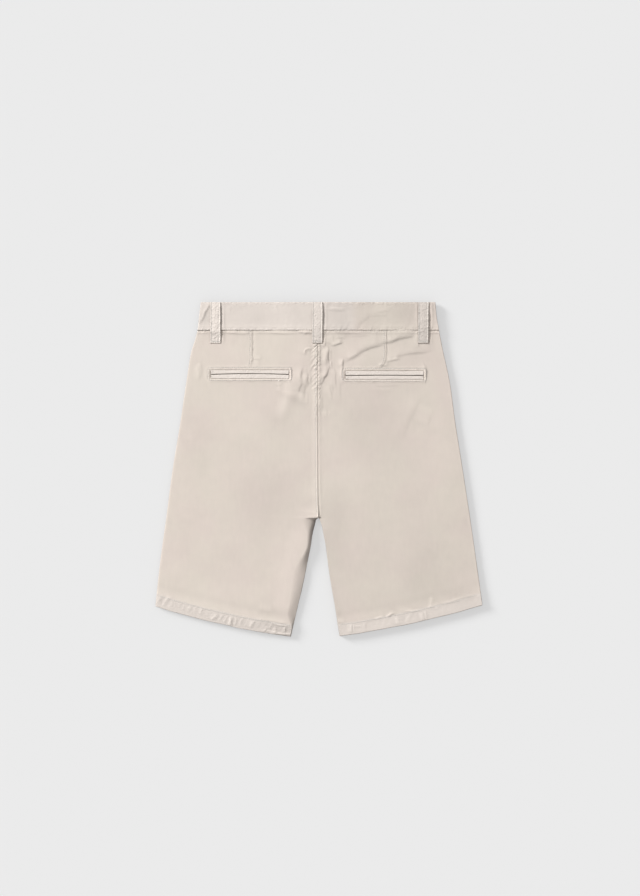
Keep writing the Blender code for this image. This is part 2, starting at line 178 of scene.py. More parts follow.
# Creases of the back panels: ridges, and folds where height is less than nothing. Each runs
# smoothly through its points, and fades out at its ends.
BACK_CREASES = table(
    Crease,
    # on the right of the centre seam
    (1.8, -1.2, [(7.5, 160), (9.4, 155.5), (11.6, 149.6), (11.1, 145), (11, 141), (11.2, 137),
                 (13.1, 131.7), (13, 129), (10.6, 124.4), (9.4, 119), (5.6, 116), (4.8, 110.6),
                 (1.4, 106.4), (-1.5, 104)]),
    (1.3, -1.3, [(10.4, 156), (12.2, 151.3), (11.2, 145), (11.1, 138), (12.6, 131.7)]),
    (1.1, -1.0, [(12.9, 128), (10.3, 121.2), (7.6, 116.4), (4.8, 111.4), (-0.1, 105.1)]),
    (1.0, -0.4, [(9, 144), (8.5, 136), (9.6, 128), (8.5, 122)]),
    (1.2, 0.4, [(14.8, 153), (13.8, 147), (14, 141), (15.2, 137)]),
    (2.5, -0.9, [(16, 170), (16.5, 163), (15, 156)]),
    (1.4, -1.4, [(13, 156.3), (17, 156.2), (21, 156.8), (26, 158.6), (31, 160)]),
    (1.2, -0.5, [(19, 164.5), (26, 165.6), (35, 165.4)]),
    (1.0, -0.45, [(16, 171.8), (28, 171.2), (40, 171.3), (54, 170.8)]),
    (1.6, -0.4, [(36, 168.4), (50, 168.2), (66, 169.6)]),
    (3.4, -2.0, [(26, 131), (30, 135.4), (34, 138), (40, 140.4), (46, 144), (50.6, 148), (57, 151.4),
                 (66, 154.8), (76, 157.4), (88, 160)]),
    (1.2, -0.4, [(34, 137.2), (40, 140.4), (46, 143.6), (52, 148.6)]),
    (3.0, -2.0, [(72, 160), (80, 160.2), (86, 160.6), (92, 161.6), (97, 163.8), (103, 165.9),
                 (112, 167.6), (124, 170)]),
    (1.0, -0.4, [(84, 160.6), (90, 161.2), (96, 163.4), (102, 165.6)]),
    (1.6, -0.9, [(84, 142), (92, 142.9), (100, 143.5), (108, 145), (117, 146.5), (128, 147.6),
                 (140, 149)]),
    (4.0, -0.6, [(108, 146.6), (120, 147.6), (132, 149), (146, 153)]),
    (1.2, -1.1, [(82, 135.6), (85, 136), (90, 136.6), (95, 138), (102, 138.4)]),
    (1.0, -0.9, [(75.5, 127.6), (79, 129.6), (83, 130.4), (87, 130.2)]),
    (1.1, -1.7, [(31, 142), (29.8, 133), (29.6, 125), (29.8, 117), (30.6, 109), (31, 106)]),
    (0.9, -0.5, [(129.5, 139), (131.5, 133), (134.6, 127), (136, 118), (135.6, 109)]),
    (1.4, -0.4, [(17, 120), (16.5, 108), (17.5, 94)]),
    (1.6, -0.4, [(26.5, 112), (26, 98), (27.5, 84)]),
    (1.0, -0.6, [(2.2, 153), (1.0, 147), (1.8, 141), (0.9, 134), (1.6, 127)]),
    (1.2, -0.8, [(6.8, 161), (7.6, 157.4), (6.4, 153.4)]),
    (1.0, 0.5, [(14.4, 137), (15, 131.6), (15.6, 126.4)]),
    (1.3, -0.6, [(18, 129), (20.4, 121), (20.2, 111), (21.6, 101)]),
    (1.2, -0.4, [(3.4, 100), (4.6, 94), (3.4, 88), (4.2, 81), (3.2, 74)]),
    (1.0, -0.5, [(14, 108), (13.4, 101), (15.4, 94), (16.6, 87)]),
    (1.2, -0.4, [(8.6, 76), (10.4, 72), (13.6, 69)]),
    (0.9, -1.0, [(124.8, 182), (124.6, 174), (124.8, 168), (125, 158), (125.4, 152)]),
    (1.1, -0.3, [(66, 106), (84, 105), (104, 107)]),
    (1.1, -0.25, [(60, 101), (80, 100), (98, 101.5)]),
    (1.0, 0.6, [(-120.8, 178), (-120.8, 168), (-121, 157)]),
    (1.0, 0.5, [(7.4, 178), (7.6, 168), (7.2, 157)]),
    (1.0, 0.6, [(141, 178), (141, 168), (140.8, 156)]),
    # down the right half of the seat
    (3.5, -0.5, [(130, 100), (121, 81), (110, 58), (100, 30)]),
    (3.5, -0.4, [(143, 82), (139, 68), (135, 54)]),
    # on the left of the centre seam
    (1.5, -1.3, [(-19.5, 131), (-21.4, 126), (-22.6, 121), (-23, 116), (-22.2, 111), (-22.4, 106)]),
    (1.8, -0.9, [(-20.5, 111), (-22.8, 106.5), (-25.2, 101), (-27.2, 95)]),
    (4.5, -1.9, [(-14.6, 122), (-17.6, 114), (-19.4, 106), (-21, 99), (-22.6, 91), (-25, 84)]),
    (8.0, 1.0, [(-28, 128), (-32, 112), (-36, 96), (-42, 80), (-52, 60)]),
    (1.4, -1.3, [(-14.4, 122), (-14.6, 113), (-14.4, 107.5), (-16.4, 102)]),
    (1.4, -0.5, [(-16.4, 130), (-15.6, 123), (-15.2, 116)]),
    (1.0, -0.8, [(-10.2, 119), (-10.6, 113.5), (-10.8, 107.5)]),
    (1.5, -0.5, [(-17.6, 97), (-18.8, 91), (-17.8, 84)]),
    (1.3, -0.5, [(-13.5, 96), (-14.4, 90), (-13.8, 82)]),
    (0.9, 0.5, [(-6.5, 151.8), (-12.5, 152.2), (-16.8, 150.8), (-18.2, 147), (-17.2, 142)]),
    (1.2, -0.5, [(-8, 149.6), (-13, 150), (-15.8, 148.6), (-16.4, 144)]),
    (1.1, -0.9, [(-28, 173.4), (-20, 172), (-14, 171.4), (-7, 172)]),
    (0.8, -0.4, [(-22, 169), (-14, 170.6), (-9, 169)]),
    (1.1, -0.6, [(-122, 172.4), (-110, 171.4), (-99.5, 170.4), (-86, 169.8)]),
    (1.1, -0.5, [(-64, 172), (-52, 170.8), (-40, 170.2), (-28, 171.6)]),
    (0.9, -0.4, [(-86, 138.2), (-79, 138.8), (-72, 137.8)]),
    (0.9, -0.4, [(-76, 138), (-76.4, 133), (-75.6, 129)]),
    (1.3, -0.5, [(-149, 136), (-148.4, 125), (-149, 114)]),
    (1.3, -0.5, [(-153, 132), (-151.4, 122), (-149.6, 111)]),
    (1.0, -0.4, [(-56, 109), (-50, 104.5), (-47, 98)]),
    # the legs
    (1.8, 0.4, [(142, -158), (141, -166), (139, -174.5)]),
    # at the left hem
    (0.9, -1.0, [(-126, -182.6), (-129.5, -185.4), (-135.5, -190.6)]),
    (1.0, 0.8, [(-120.5, -181.6), (-123.4, -185.4), (-126.4, -190.6)]),
    (1.0, 0.9, [(-114.8, -183), (-117.2, -186.6), (-120.4, -193)]),
    (1.0, 1.0, [(-110.2, -184), (-111.6, -189.6), (-113.6, -197.4)]),
    (0.9, -1.2, [(-109.6, -184.6), (-109.6, -191), (-110.6, -198.4)]),
    (0.9, 0.7, [(-104.4, -185.6), (-105.6, -191), (-107, -197.4)]),
    (0.9, 0.6, [(-97.4, -187), (-98.6, -191.4), (-100.6, -197)]),
    (0.9, -0.9, [(-82, -190), (-83.4, -195), (-85.4, -200)]),
    (1.0, -0.6, [(-86, -188.6), (-78, -189.4), (-68, -189.6), (-57, -191), (-46, -193),
                 (-34, -194.8)]),
    (0.9, 0.9, [(-64, -192.2), (-56, -193.6), (-49, -195.6), (-38, -196.6)]),
    (0.9, -1.1, [(-62.6, -197.4), (-65.6, -200.6), (-69.4, -204.6)]),
    (0.9, -0.9, [(-53.4, -198.4), (-53.8, -202), (-53.2, -205.8)]),
    (0.9, -1.0, [(-41.6, -197.6), (-42.2, -201.6), (-41.8, -205.6)]),
    (1.1, 0.8, [(-66, -205.4), (-58, -206), (-48, -206.8), (-36, -207.8)]),
    (1.1, 0.4, [(-147.6, -173), (-148.4, -177), (-149.6, -183)]),
    (0.9, -0.5, [(-161.6, -171.6), (-162.6, -175), (-164.6, -179.4)]),
    (1.6, -0.4, [(-78, -173.6), (-70, -175.6), (-58, -178)]),
    (1.4, -0.4, [(-184, -161.6), (-189, -164), (-192, -169)]),
    # at the right hem
    (0.9, -0.9, [(41, -193), (41.6, -199), (42, -206)]),
    (0.9, 0.4, [(43.6, -193), (44, -206)]),
    (0.9, -0.4, [(58.4, -191), (58.6, -198), (58.4, -205)]),
    (0.9, -0.9, [(98.4, -184), (99.6, -190), (99.4, -196)]),
    (0.9, -0.4, [(103.4, -185), (104.4, -194)]),
    (0.9, -0.8, [(130, -178), (130.6, -184), (131.4, -190)]),
    (0.9, 0.8, [(133.4, -176), (134, -182), (134.6, -189)]),
    (0.9, -0.4, [(149, -171), (149.4, -176)]),
    (1.1, 0.9, [(84, -185), (88.5, -183), (92, -180.6), (98, -181)]),
    (1.2, 0.4, [(68, -188), (74, -186.4), (82, -184.6)]),
    (1.2, 0.5, [(104, -177), (116, -177.6), (130, -176.2)]),
    (1.2, 0.5, [(134, -174), (142, -171.6), (152, -168.4)]),
    (1.2, 0.4, [(150, -168.4), (164, -166.4), (174, -163), (184, -159.6), (200, -156)]),
    (1.0, -0.6, [(22, -191), (27, -192.2), (34, -192.4)]),
    (1.0, 0.4, [(44, -196.6), (50, -196.8), (54, -196.4)]),
)

# Creases of the back waistband.
BAND_CREASES = table(
    Crease,
    (1.0, -0.5, [(6, 200.4), (16, 200.2), (26, 199.6), (37, 199.6)]),
    (1.2, 0.25, [(8, 202.6), (22, 202.6), (36, 201.8)]),
    (2.4, -0.45, [(40, 177), (48, 182), (54.2, 186.8), (60.5, 191.5), (65.2, 193.9), (90, 194.6)]),
    (1.4, -0.4, [(66, 195.6), (76, 198.4), (92, 200)]),
    (1.2, -1.2, [(-134, 213), (-136.4, 208), (-138.9, 204.1), (-142.9, 197.1), (-145.2, 190.8),
                 (-149.5, 184), (-152, 180)]),
    (1.5, -0.5, [(139, 208), (142, 200), (147, 194)]),
    (1.0, 0.6, [(-120.6, 216), (-120.2, 192), (-120.6, 168)]),
    (1.0, 0.5, [(8.2, 216), (8.6, 192), (8.0, 168)]),
    (1.0, 0.6, [(140.4, 216), (141.8, 192), (141, 168)]),
    (0.9, -1.0, [(124, 216), (124, 208), (124.4, 196), (124.6, 184), (124.6, 172)]),
    (1.0, -0.35, [(-58, 207), (-52.6, 201), (-51, 194)]),
    (1.0, -0.25, [(-45, 186), (-41, 182), (-39, 177)]),
    (1.0, -0.3, [(-110, 206), (-112, 200), (-111, 196)]),
)

# Creases of the front panels, which dent their underside.
FRONT_CREASES = table(
    Crease,
    # fanning out from the crotch
    (4.0, 0.7, [(8, -48), (30, -38), (58, -20), (82, 4)]),
    (3.5, 0.6, [(10, -30), (32, -12), (54, 14)]),
    (4.0, 0.7, [(-9, -50), (-34, -42), (-62, -22), (-88, 6)]),
    (3.5, 0.5, [(-12, -28), (-30, -8), (-48, 20)]),
    # across the hips
    (4.5, 0.6, [(-150, 96), (-124, 84), (-92, 78)]),
    (4.5, 0.6, [(146, 92), (122, 82), (96, 80)]),
    # down the legs
    (5.0, 0.5, [(-140, -40), (-132, -84), (-128, -130)]),
    (5.0, 0.5, [(126, -50), (122, -96), (128, -140)]),
)
PATH_STEPS = 12  # straight steps between two of a crease's points

# ---------------------------------------------------------------- sewing

TOPSTITCH = 2.0  # from the centre seam to its row of stitches
EDGESTITCH = 2.0  # from the front waistband's lower edge to its row
HEM_STITCH = 13.4  # from a hem's edge to its row
LOOP_STITCH = 1.7  # from a belt loop's edges to their rows
STITCH_PITCH = 2.7
STITCH_LENGTH = 1.6
STITCH_SIDES = 6
HOLE_RADIUS = 0.5
SEAM_END = 4.0  # from the ends of a long seam to those of its row of stitches

# Half a stitch, from its middle out: how far along it in half lengths, the half width and height
# of the thread there, how high its middle lies, and 1 where it is the end in a hole, in painted shade.
STITCH_PROFILE = [
    (0.0, 0.3, 0.28, 0.10, 0), (0.4, 0.27, 0.25, 0.07, 0), (0.85, 0.2, 0.16, 0.05, 0),
    (1.0, HOLE_RADIUS, 0.1, 0.04, 1), (1.45, HOLE_RADIUS, 0.1, 0.04, 1), (1.56, 0.1, 0.02, 0.0, 1),
]

GROOVE = 0.35  # how deep a row of stitches pulls the cloth in
GROOVE_WIDTH = 0.6
FLY = [(-40.0, 171.0), (-40.0, 130.0), (-40.0, 88.0), (-36.0, 62.0), (-24.0, 44.0), (-5.2, 34.0)]
POCKET_TOP = 112.0  # how far out the front pockets' slanted mouths start, at the waistband
POCKET_FOOT = (163.0, 104.0)
POCKET_ROWS = 6.0  # between the two rows of stitches along a mouth

Dart = namedtuple("Dart", "side path")
DARTS = [
    Dart("left", [(-83.4, 177), (-83.4, 160), (-83.6, 146), (-83.4, 138), (-85.4, 130.5)]),
    Dart("right", [(85.0, 177), (85.1, 160), (85.1, 146), (84.6, 139), (82.4, 133), (77.4, 128.4)]),
]
DART_STITCH = 3.2  # from a dart's fold to its row of stitches

# ---------------------------------------------------------------- trims

BAND_RISE = 1.2  # the waistband's face stands this far over the panels
BAND_LAP = 17.0  # how far the left front waistband goes past the centre
BAND_UNDERLAP = 20.0  # and how far the right one does, inside it
BAND_BEND = 18.0  # how long the right one takes to bend in over the left one's end

LOOP_WIDTH = 12.9
LOOP_WALL = 1.3
LOOP_TOP = 210.3
LOOP_BOTTOM = 158.8
LOOP_SLACK = 1.35
LOOP_RIM = 0.9  # from a back loop's right and lower edges to the lines of painted highlight
LOOP_REACH = 9  # over so many rings either way a loop evens out what it lies on
LOOP_BAR = 10.4  # length of the bars of stitches that hold a loop
TRIM_GAP = 0.05  # between the cloth and the loops and lips on it
FRONT_LOOPS = {"left": -72.0, "right": 72.0}
FRONT_LOOP_TOP = 208.6
FRONT_LOOP_WIDTH = 12.7
BackLoop = namedtuple("BackLoop", "name x wear")  # the middle of each, and its painted light, less than nothing for painted shade
BACK_LOOPS = [
    BackLoop("left", -130.2, 0.8),
    BackLoop("centre", -2.05, 0.1),
    BackLoop("right", 131.1, -0.9),
]

# The middle of each back pocket's frame, how far over it the slit's ends are, and how far the
# slit's middle bows up from there.
Pocket = namedtuple("Pocket", "side x y slit bow")
POCKETS = [
    Pocket("left", -86.9, 119.6, slit=-0.2, bow=1.0),
    Pocket("right", 82.4, 118.6, slit=-0.6, bow=0.4),
]
WINDOW = (49.4, 5.4)  # half the width and height of the opening that the lips fill
FRAME = (52.8, 8.0)  # and of the stitched frame round it
WINDOW_CORNER = 1.4
FRAME_CORNER = 3.6
FRAME_UP = 0.6  # the frame's middle lies this much above the window's
FRAME_STITCH = 0.2  # and its stitches this far inside it
LIP_MARGIN = 0.1  # between the lips and the window's edge
LIP_END = 0.4  # and between their ends and the window's
LIP_WALL = 2.1
LIP_WEAR = 0.9  # how light the lips are rubbed
SLIT = 0.85

# ---------------------------------------------------------------- looks

TWILL = (0.742, 0.660, 0.590)
TWILL_ROSY = (0.740, 0.650, 0.585)  # its dye has taken unevenly, between these two
TWILL_SANDY = (0.742, 0.667, 0.589)
PATCH_SCALE = 17.0
WASHED = (0.770, 0.695, 0.636)  # the stitched edges, the waistband and the trims
TWILL_ANGLE = 62.0  # degrees of its ribs over the cloth's width
RIB_PITCH = 0.0006
WEFT_PITCH = 0.00042
# How much the twill lightens for each unit of wear and painted light, or darkens below nothing.
WEAR_AND_PAINTED_LIGHT_SHADE = 0.09
PUCKER_SCALE = 420.0  # a pucker is about a 420th of a metre long
PUCKER_DEPTH = 0.0016
WEAVE_DEPTH = 0.00012
THREAD = (0.84, 0.79, 0.73)
GRAIN_DEPTH = 0.00008
HOLE_SHADE = 0.68  # painted shade: how much darker the thread's ends are in the needle's holes
LIGHT_HOLES = 0.35  # and the share of that which shows at the centre seam and the belt loops,
POCKET_HOLES = 0.6  # at the pockets
HEM_HOLES = 0.15  # and at the back's hems
HORN = (0.55, 0.46, 0.36)
HORN_DARK = (0.30, 0.22, 0.15)
FLOOR = (0.88, 0.88, 0.88)

# How much lighter parts of the back are made, as so many ridges: rubbed ridges, and painted
# highlights and painted light. Less than nothing is darker.
RIDGE_HEIGHT = 0.3  # how far a ridge stands over the cloth round it
RIDGE_REACH = 3  # in points of the cloth's grid
RIM_PAINTED_HIGHLIGHT = 1.2  # a painted highlight on a pocket's rim
FRAME_PAINTED_LIGHT = 1.3  # painted light on the foot of the frame round it
WAIST_PAINTED_LIGHT = 0.8  # painted light on the panels just under the waistband
FOLD_PAINTED_HIGHLIGHT = 4.2  # painted highlight on the left half's folded edge along the centre seam
# The hems are a little darker, the left one more.
HEM_TONE = {"left": -0.3, "right": -0.1}
HEM_LINE_PAINTED_LIGHT = 1.1  # painted light on the line along the right hem's stitches

# And how much painted shade darkens them, as so many grooves.
POCKET_SHADE = 5.0  # a pocket's inside
GUTTER_SHADE = 1.3  # painted shade on the right half, low down beside the centre seam
CROTCH_SHADE = 4.5  # the fold under the crotch
KNOT_SHADE = 12.0  # the hole that the seams' ends leave over the crotch
KNOT = (1.5, -60.3)
HEM_SEWN = {"left": 0.3, "right": 0.12}  # how far stitches pucker a hem, where 1 is the most
BAND_WASHED = 38.0  # the back waistband is washed out from its left end to here

# Broad patches of painted light and painted shade on the back: the middle of each, how far it
# reaches, and its shade as so many ridges or grooves.
Tone = namedtuple("Tone", "x y wide tall shade")
TONES = table(
    Tone,
    (-70, -32, 34, 42, -0.75), (-154, 40, 26, 80, -0.4), (60, 68, 40, 46, -0.6),
    (152, 30, 24, 80, 0.45), (20, -48, 16, 34, -0.4), (128, -134, 34, 34, -0.65),
    (-112, -160, 50, 20, 0.45), (-110, 148, 60, 14, 0.3), (120, 152, 14, 14, -0.7),
    (70, 148, 18, 9, 0.5), (28, 192, 14, 20, -1.1), (112, 198, 24, 18, -1.1),
    (-147, 197, 8, 15, -0.8), (-70, 192, 60, 14, -0.45), (70, 192, 60, 14, -0.3),
    (-26, 156, 11, 18, 0.7), (34, 174, 14, 6, -0.7), (30, 136, 22, 18, 0.5),
    (-58, 58, 20, 20, -0.5), (28, 0, 28, 24, 0.4), (-48, -125, 15, 45, 0.6),
    (20, -88, 16, 45, -0.5), (91, 172, 20, 8, -0.8), (129, 205, 9, 12, -0.9),
    (29, 172, 9, 8, -0.4), (8, 190, 7, 9, -0.5), (150, 178, 9, 20, 0.4), (-31, 138, 9, 9, 0.6),
    (49, 138, 9, 8, 0.4), (-31, 104, 9, 18, -0.45), (-11, -30, 8, 14, 0.4),
    (182, -162, 16, 12, -0.6), (100, -132, 14, 45, 0.4),
)

# ---------------------------------------------------------------- floor and light

# Lengths are in metres here. A light's strength is how bright it makes a level white surface.
FLOOR_SIZE = 14.0
FLOOR_DEPTH = -0.0004
AMBIENT = 0.26
DOME = 0.18  # soft light on the cloth from all round the camera
DOME_ANGLE = 100.0
KEY = 0.50
KEY_AZIMUTH = 135.0
KEY_ELEVATION = 38.0
KEY_DISTANCE = 6.0
KEY_SIZE = 2.0
SIDE = 0.05  # a nearer light from the left
SIDE_AZIMUTH = 180.0
SIDE_ELEVATION = 35.0
SIDE_DISTANCE = 1.3
SIDE_SIZE = 0.5
SUN_DISTANCE = 3.0
FLOOR_KEY = 0.19  # a low light for the floor alone, for the garment's shadow on it
FLOOR_KEY_AZIMUTH = 150.0
FLOOR_KEY_ELEVATION = 24.0
FLOOR_KEY_ANGLE = 20.0
FLOOR_FILL = 0.493  # and one from above that keeps it pale
FLOOR_FILL_ANGLE = 5.0
CAMERA = (0.00126, 0.0271, 2.666)
LENS = 85.0  # in millimetres

# ---------------------------------------------------------------- grids

# Places on a grid lie a coarse step apart, but closer in its zones.
Zone = namedtuple("Zone", "low high step")

PANEL_TOP = 178.5  # the panels reach up to here, inside the waistband
ROW_STEP = 2.8
ROW_ZONES = [Zone(96.0, 178.5, 0.78), Zone(-65.0, -58.0, 0.3)]
COLUMN_STEP = 1.45
COLUMN_ZONES = {  # by distance from the centre seam
    "left": [Zone(7.0, 14.0, 0.5), Zone(14.0, 40.0, 0.8), Zone(133.0, 140.0, 0.6)],
    "right": [Zone(7.0, 38.0, 0.7), Zone(131.0, 138.0, 0.6)],
}
FIRST_COLUMN = 7.0  # the columns between the turned-down edges are set out from here,
LAST_COLUMN = 164.0  # to here, and then spread over the width that each row has for them
PANEL_WIDTH = 165.0
BAND_WIDTH = 300.0
NEAR_STEPS = np.linspace(0, 1, 21)  # columns of the turned-down edges, in parts of their width
FAR_STEPS = np.array([0, 0.03, 0.1, 0.22, 0.4, 0.65, 1])
HEM_ROWS = 24
BEND_STEPS = 6
FRONT_STEP = 2.6
BAND_STEP = 1.1
BAND_ROWS = 46


# ---------------------------------------------------------------- curves and fields

def ease(value):
    """From 0 to 1, starting and ending level."""
    value = np.clip(value, 0.0, 1.0)
    return value * value * (3.0 - 2.0 * value)


def bell(distance, width, power=2):
    """From 1 at no distance to next to nothing at twice the width."""
    return np.exp(-((distance / width) ** power))


def as_grid(x, y, z):
    """Points in rows and columns."""
    return np.stack(np.broadcast_arrays(x, y, z), axis=2)


def of_side(items, side):
    """Those of the pockets or darts that are on one side."""
    return [item for item in items if item.side == side]


def smooth(at, rows, column):
    """The smooth curve through one column of a table, read at the heights y given."""
    rows = sorted(rows, key=lambda row: row.y)
    y = np.array([row.y for row in rows])
    value = np.array([getattr(row, column) for row in rows])
    slope = np.gradient(value, y)
    at = np.clip(at, y[0], y[-1])
    i = np.clip(np.searchsorted(y, at) - 1, 0, len(y) - 2)
    span = y[i + 1] - y[i]
    part = (at - y[i]) / span
    start = value[i] * (1 + 2 * part) + span * slope[i] * part
    end = value[i + 1] * (3 - 2 * part) + span * slope[i + 1] * (part - 1)
    return start * (1 - part) ** 2 + end * part**2


def noise(x, y, size, seed):
    """Smooth unevenness from -1 to 1, with hills of about that size, or (width, length)."""
    lattice = np.random.default_rng(seed).uniform(-1.0, 1.0, (512, 512))
    width, length = np.broadcast_to(size, 2)
    x = x / width + 256.37
    y = y / length + 256.71
    i = np.floor(x).astype(int)
    j = np.floor(y).astype(int)
    over = ease(x - i)
    up = ease(y - j)
    lower = lattice[i, j] * (1 - over) + lattice[i + 1, j] * over
    upper = lattice[i, j + 1] * (1 - over) + lattice[i + 1, j + 1] * over
    return lower * (1 - up) + upper * up


def curve_through(points):
    """A smooth path through the points, as many short straight steps."""
    points = np.array(points, float)
    ends = np.vstack([2 * points[0] - points[1], points, 2 * points[-1] - points[-2]])
    t = np.linspace(0, 1, PATH_STEPS, endpoint=False)[:, None]
    path = []
    for a, b, c, d in zip(ends, ends[1:], ends[2:], ends[3:]):
        path.append(b + t * (c - a) / 2 + t**2 * (a - 2.5 * b + 2 * c - d / 2)
                    + t**3 * (1.5 * (b - c) + (d - a) / 2))
    return np.vstack([*path, points[-1:]])


def beside(path, x, y):
    """For each place, how far it is from the path, how far along it from 0 to 1, and whether it
    is on the path's side towards the upper left (1) or not (-1)."""
    lengths = np.hypot(*np.diff(path, axis=0).T)
    reached = np.concatenate([[0.0], np.cumsum(lengths)]) / lengths.sum()
    nearest = np.full(x.shape, np.inf)
    along = np.zeros(x.shape)
    side = np.ones(x.shape)
    for start, end, low, high in zip(path, path[1:], reached, reached[1:]):
        run = end - start
        part = ((x - start[0]) * run[0] + (y - start[1]) * run[1]) / (run @ run)
        part = np.clip(part, 0.0, 1.0)
        aside = (x - start[0] - part * run[0], y - start[1] - part * run[1])
        distance = np.hypot(*aside)
        closer = distance < nearest
        nearest = np.where(closer, distance, nearest)
        along = np.where(closer, low + (high - low) * part, along)
        turned_left = np.sign(run[0] * aside[1] - run[1] * aside[0]) * np.sign(run[0] + run[1])
        side = np.where(closer, turned_left, side)
    return nearest, along, side


def rough(x, y, *hills):
    """Unevenness of several kinds: the height, size and seed of each."""
    return sum(height * noise(x, y, size, seed) for height, size, seed in hills)


def creased(creases, x, y):
    """How much the creases raise or lower the cloth. A ridge is even on both its sides. A fold
    rises little by little from its upper left, and drops steeply at its path."""
    total = np.zeros(x.shape)
    for crease in creases:
        path = curve_through(crease.path)
        reach = 8 * crease.width
        low = path.min(axis=0) - reach
        high = path.max(axis=0) + reach
        close = (x > low[0]) & (x < high[0]) & (y > low[1]) & (y < high[1])
        if not close.any():
            continue
        distance, along, side = beside(path, x[close], y[close])
        fade = ease(along / 0.3) * ease((1 - along) / 0.3)
        fade *= 1 + 0.4 * noise(x[close], y[close], 3 + 4 * crease.width, 91)
        ridge = bell(distance, crease.width)
        past = np.maximum(side * distance / crease.width + 0.8, 0)
        fold = (1 - np.exp(-past)) * bell(past, 5)
        shape = ridge if crease.height > 0 else -fold
        total[close] += crease.height * shape * fade
    return total


def groove(distance):
    """What a row of stitches takes off the height, at a distance from it."""
    return -GROOVE * bell(distance, GROOVE_WIDTH)


# ---------------------------------------------------------------- the outline

def centre_x(y):
    """x of the centre seams."""
    down = (WAIST_SEAM - y) / (WAIST_SEAM - CROTCH)
    return CENTRE_TOP_X + (CENTRE_CROTCH_X - CENTRE_TOP_X) * np.clip(down, 0, 1) ** 5


def inner_x(half, y):
    """x of a half's inner edge: at the centre seam, and the inseam below the crotch."""
    under = SEAM_LAP if half is LEFT else -3 * SEAM_LAP
    lap = under * ease((y - CROTCH - 2) / 6)
    return np.where(y > CROTCH, centre_x(y) + lap, smooth(y, INSEAM, half.name))


def lap_rise(x, y):
    """How much higher the back lies over the lapped ends of the front waistband."""
    sideways = 1 - ease((np.abs(x - LAP_MIDDLE_X) - LAP_FLAT) / LAP_FADE)
    return LAP_RISE * sideways * ease((y - LAP_FOOT) / (WAIST_SEAM - LAP_FOOT))


def lie_of(across, x, y):
    """Height of the back's outer face before its creases. across is 0 at the inner edge."""
    inner = smooth(y, LIE, "inner")
    outer = smooth(y, LIE, "outer")
    sag = smooth(y, LIE, "sag") * np.sin(np.pi * np.clip(across, 0, 1))
    return inner + (outer - inner) * ease(across) - sag + lap_rise(x, y)


def front_height(y):
    """Height of the front panels' outer face, which is their underside."""
    return FRONT_RISE * ease((y - FRONT_RISE_FOOT) / (FRONT_RISE_TOP - FRONT_RISE_FOOT))


def turned(part, curve):
    """Share of its height that a turned-down edge reaches, that part of its width in."""
    return (1 - (1 - np.clip(part, 0, 1)) ** curve[0]) ** (1 / curve[1])


def turned_edge(rows, inset):
    """The columns at an outseam, where the back turns down: how far in they are, for each row, and
    the share of the height that they reach. An inset layer is smaller all round."""
    steps = FAR_STEPS * np.ones((rows, 1))
    return 0.8 * inset + (EDGE_ROLL - 0.3 * min(inset, 1)) * steps, turned(steps, EDGE_CURVE)


def stations(start, stop, step, zones):
    """Places from start to stop, a step apart, and closer in the zones."""
    places = [start]
    while places[-1] < stop:
        here = places[-1]
        steps = [zone.step for zone in zones if zone.low - step <= here <= zone.high]
        places.append(here + min(steps, default=step))
    places = np.array(places)
    return start + (places - start) * (stop - start) / (places[-1] - start)


def spread(half, levels, near, far, middles):
    """x, y and across of a half's points, in rows from the waist down and from the inner edge
    out. near and far are the distances of the columns at its two edges, in from the edge."""
    down = ((WAIST_SEAM - levels) / (WAIST_SEAM - half.hem_inner_y))[:, None]
    inner_y = levels[:, None]
    outer_y = WAIST_SEAM + (half.hem_outer_y - WAIST_SEAM) * down
    start_x = inner_x(half, inner_y)
    run_x = smooth(outer_y, OUTSEAM, half.name) - start_x
    span = np.hypot(run_x, outer_y - inner_y)
    first = near[:, -1:]
    last = span - far[:, -1:]
    middle = first + (last - first) * middles
    across = np.hstack([near, middle, span - far[:, ::-1]]) / span
    bulge = HEM_BULGE * ease(2 * down - 1) * 4 * across * (1 - across)
    x = start_x + run_x * across
    y = inner_y + (outer_y - inner_y) * across - bulge
    y += HEM_WAVE * noise(x, 0 * x, 14.0, 5) * ease(6 * down - 5)
    return x, y, across


def levels_of(half, step, zones):
    """Heights y of a panel's rows down to its hem, and of those that its hem turns up over."""
    edge = half.hem_inner_y + DOUBLE / 2
    hem = np.linspace(edge + HEM_TURN + 2, edge, HEM_ROWS)
    zones = [Zone(-zone.high, -zone.low, zone.step) for zone in zones]
    return np.concatenate([-stations(-PANEL_TOP, -hem[0], step, zones)[:-1], hem]), hem


def hem_line(half):
    """The edge of a half's hem, as a path."""
    edge = np.array([half.hem_inner_y + DOUBLE / 2])
    end = np.zeros((1, 1))
    x, y, _ = spread(half, edge, end, end, np.linspace(0, 1, 60)[1:-1])
    return np.stack([x[0], y[0]], axis=1)


# ---------------------------------------------------------------- relief of the back

def seam_relief(half, x, y):
    """The lapped centre back seam: the left half lies over the right one and is topstitched."""
    seam_x = centre_x(y)
    away = np.abs(x - seam_x)
    upper = 0.3 + 0.7 * ease((y - 80) / 25)
    pucker = noise(x - 0.5 * y, y, (7.0, 2.4), 11) * bell(away - 2.5, 3.2) * 0.22 * upper
    pucker += noise(x, y, (4.0, 7.0), 12) * np.exp(-away / 9) * 0.25 * upper
    hatched = ease((160 - y) / 6) * ease((y - 96) / 12) if half is LEFT else 0
    pucker += 0.7 * noise(0.8 * (x - y), 0.6 * (x + y), (1.6, 6.0), 13) * hatched * bell(away, 7, 4)
    if half is LEFT:
        shape = 0.25 * (1 - ease((away - 3) / 6)) + 0.25 * groove(away - TOPSTITCH)
        shape += 0.5 * bell(away - 0.95, 0.75)
        shape -= 0.35 * np.where(x < seam_x, 1 - ease((away - SEAM_LAP) / 1.1), 1)
    else:
        shape = 0.3 * np.exp(-away / 6) - 0.55 * (1 - ease((away - 0.6) / 1.6))
        shape = np.where(x > seam_x, shape, -0.5)
    return (shape + pucker) * ease((y - LEDGE) / 3)


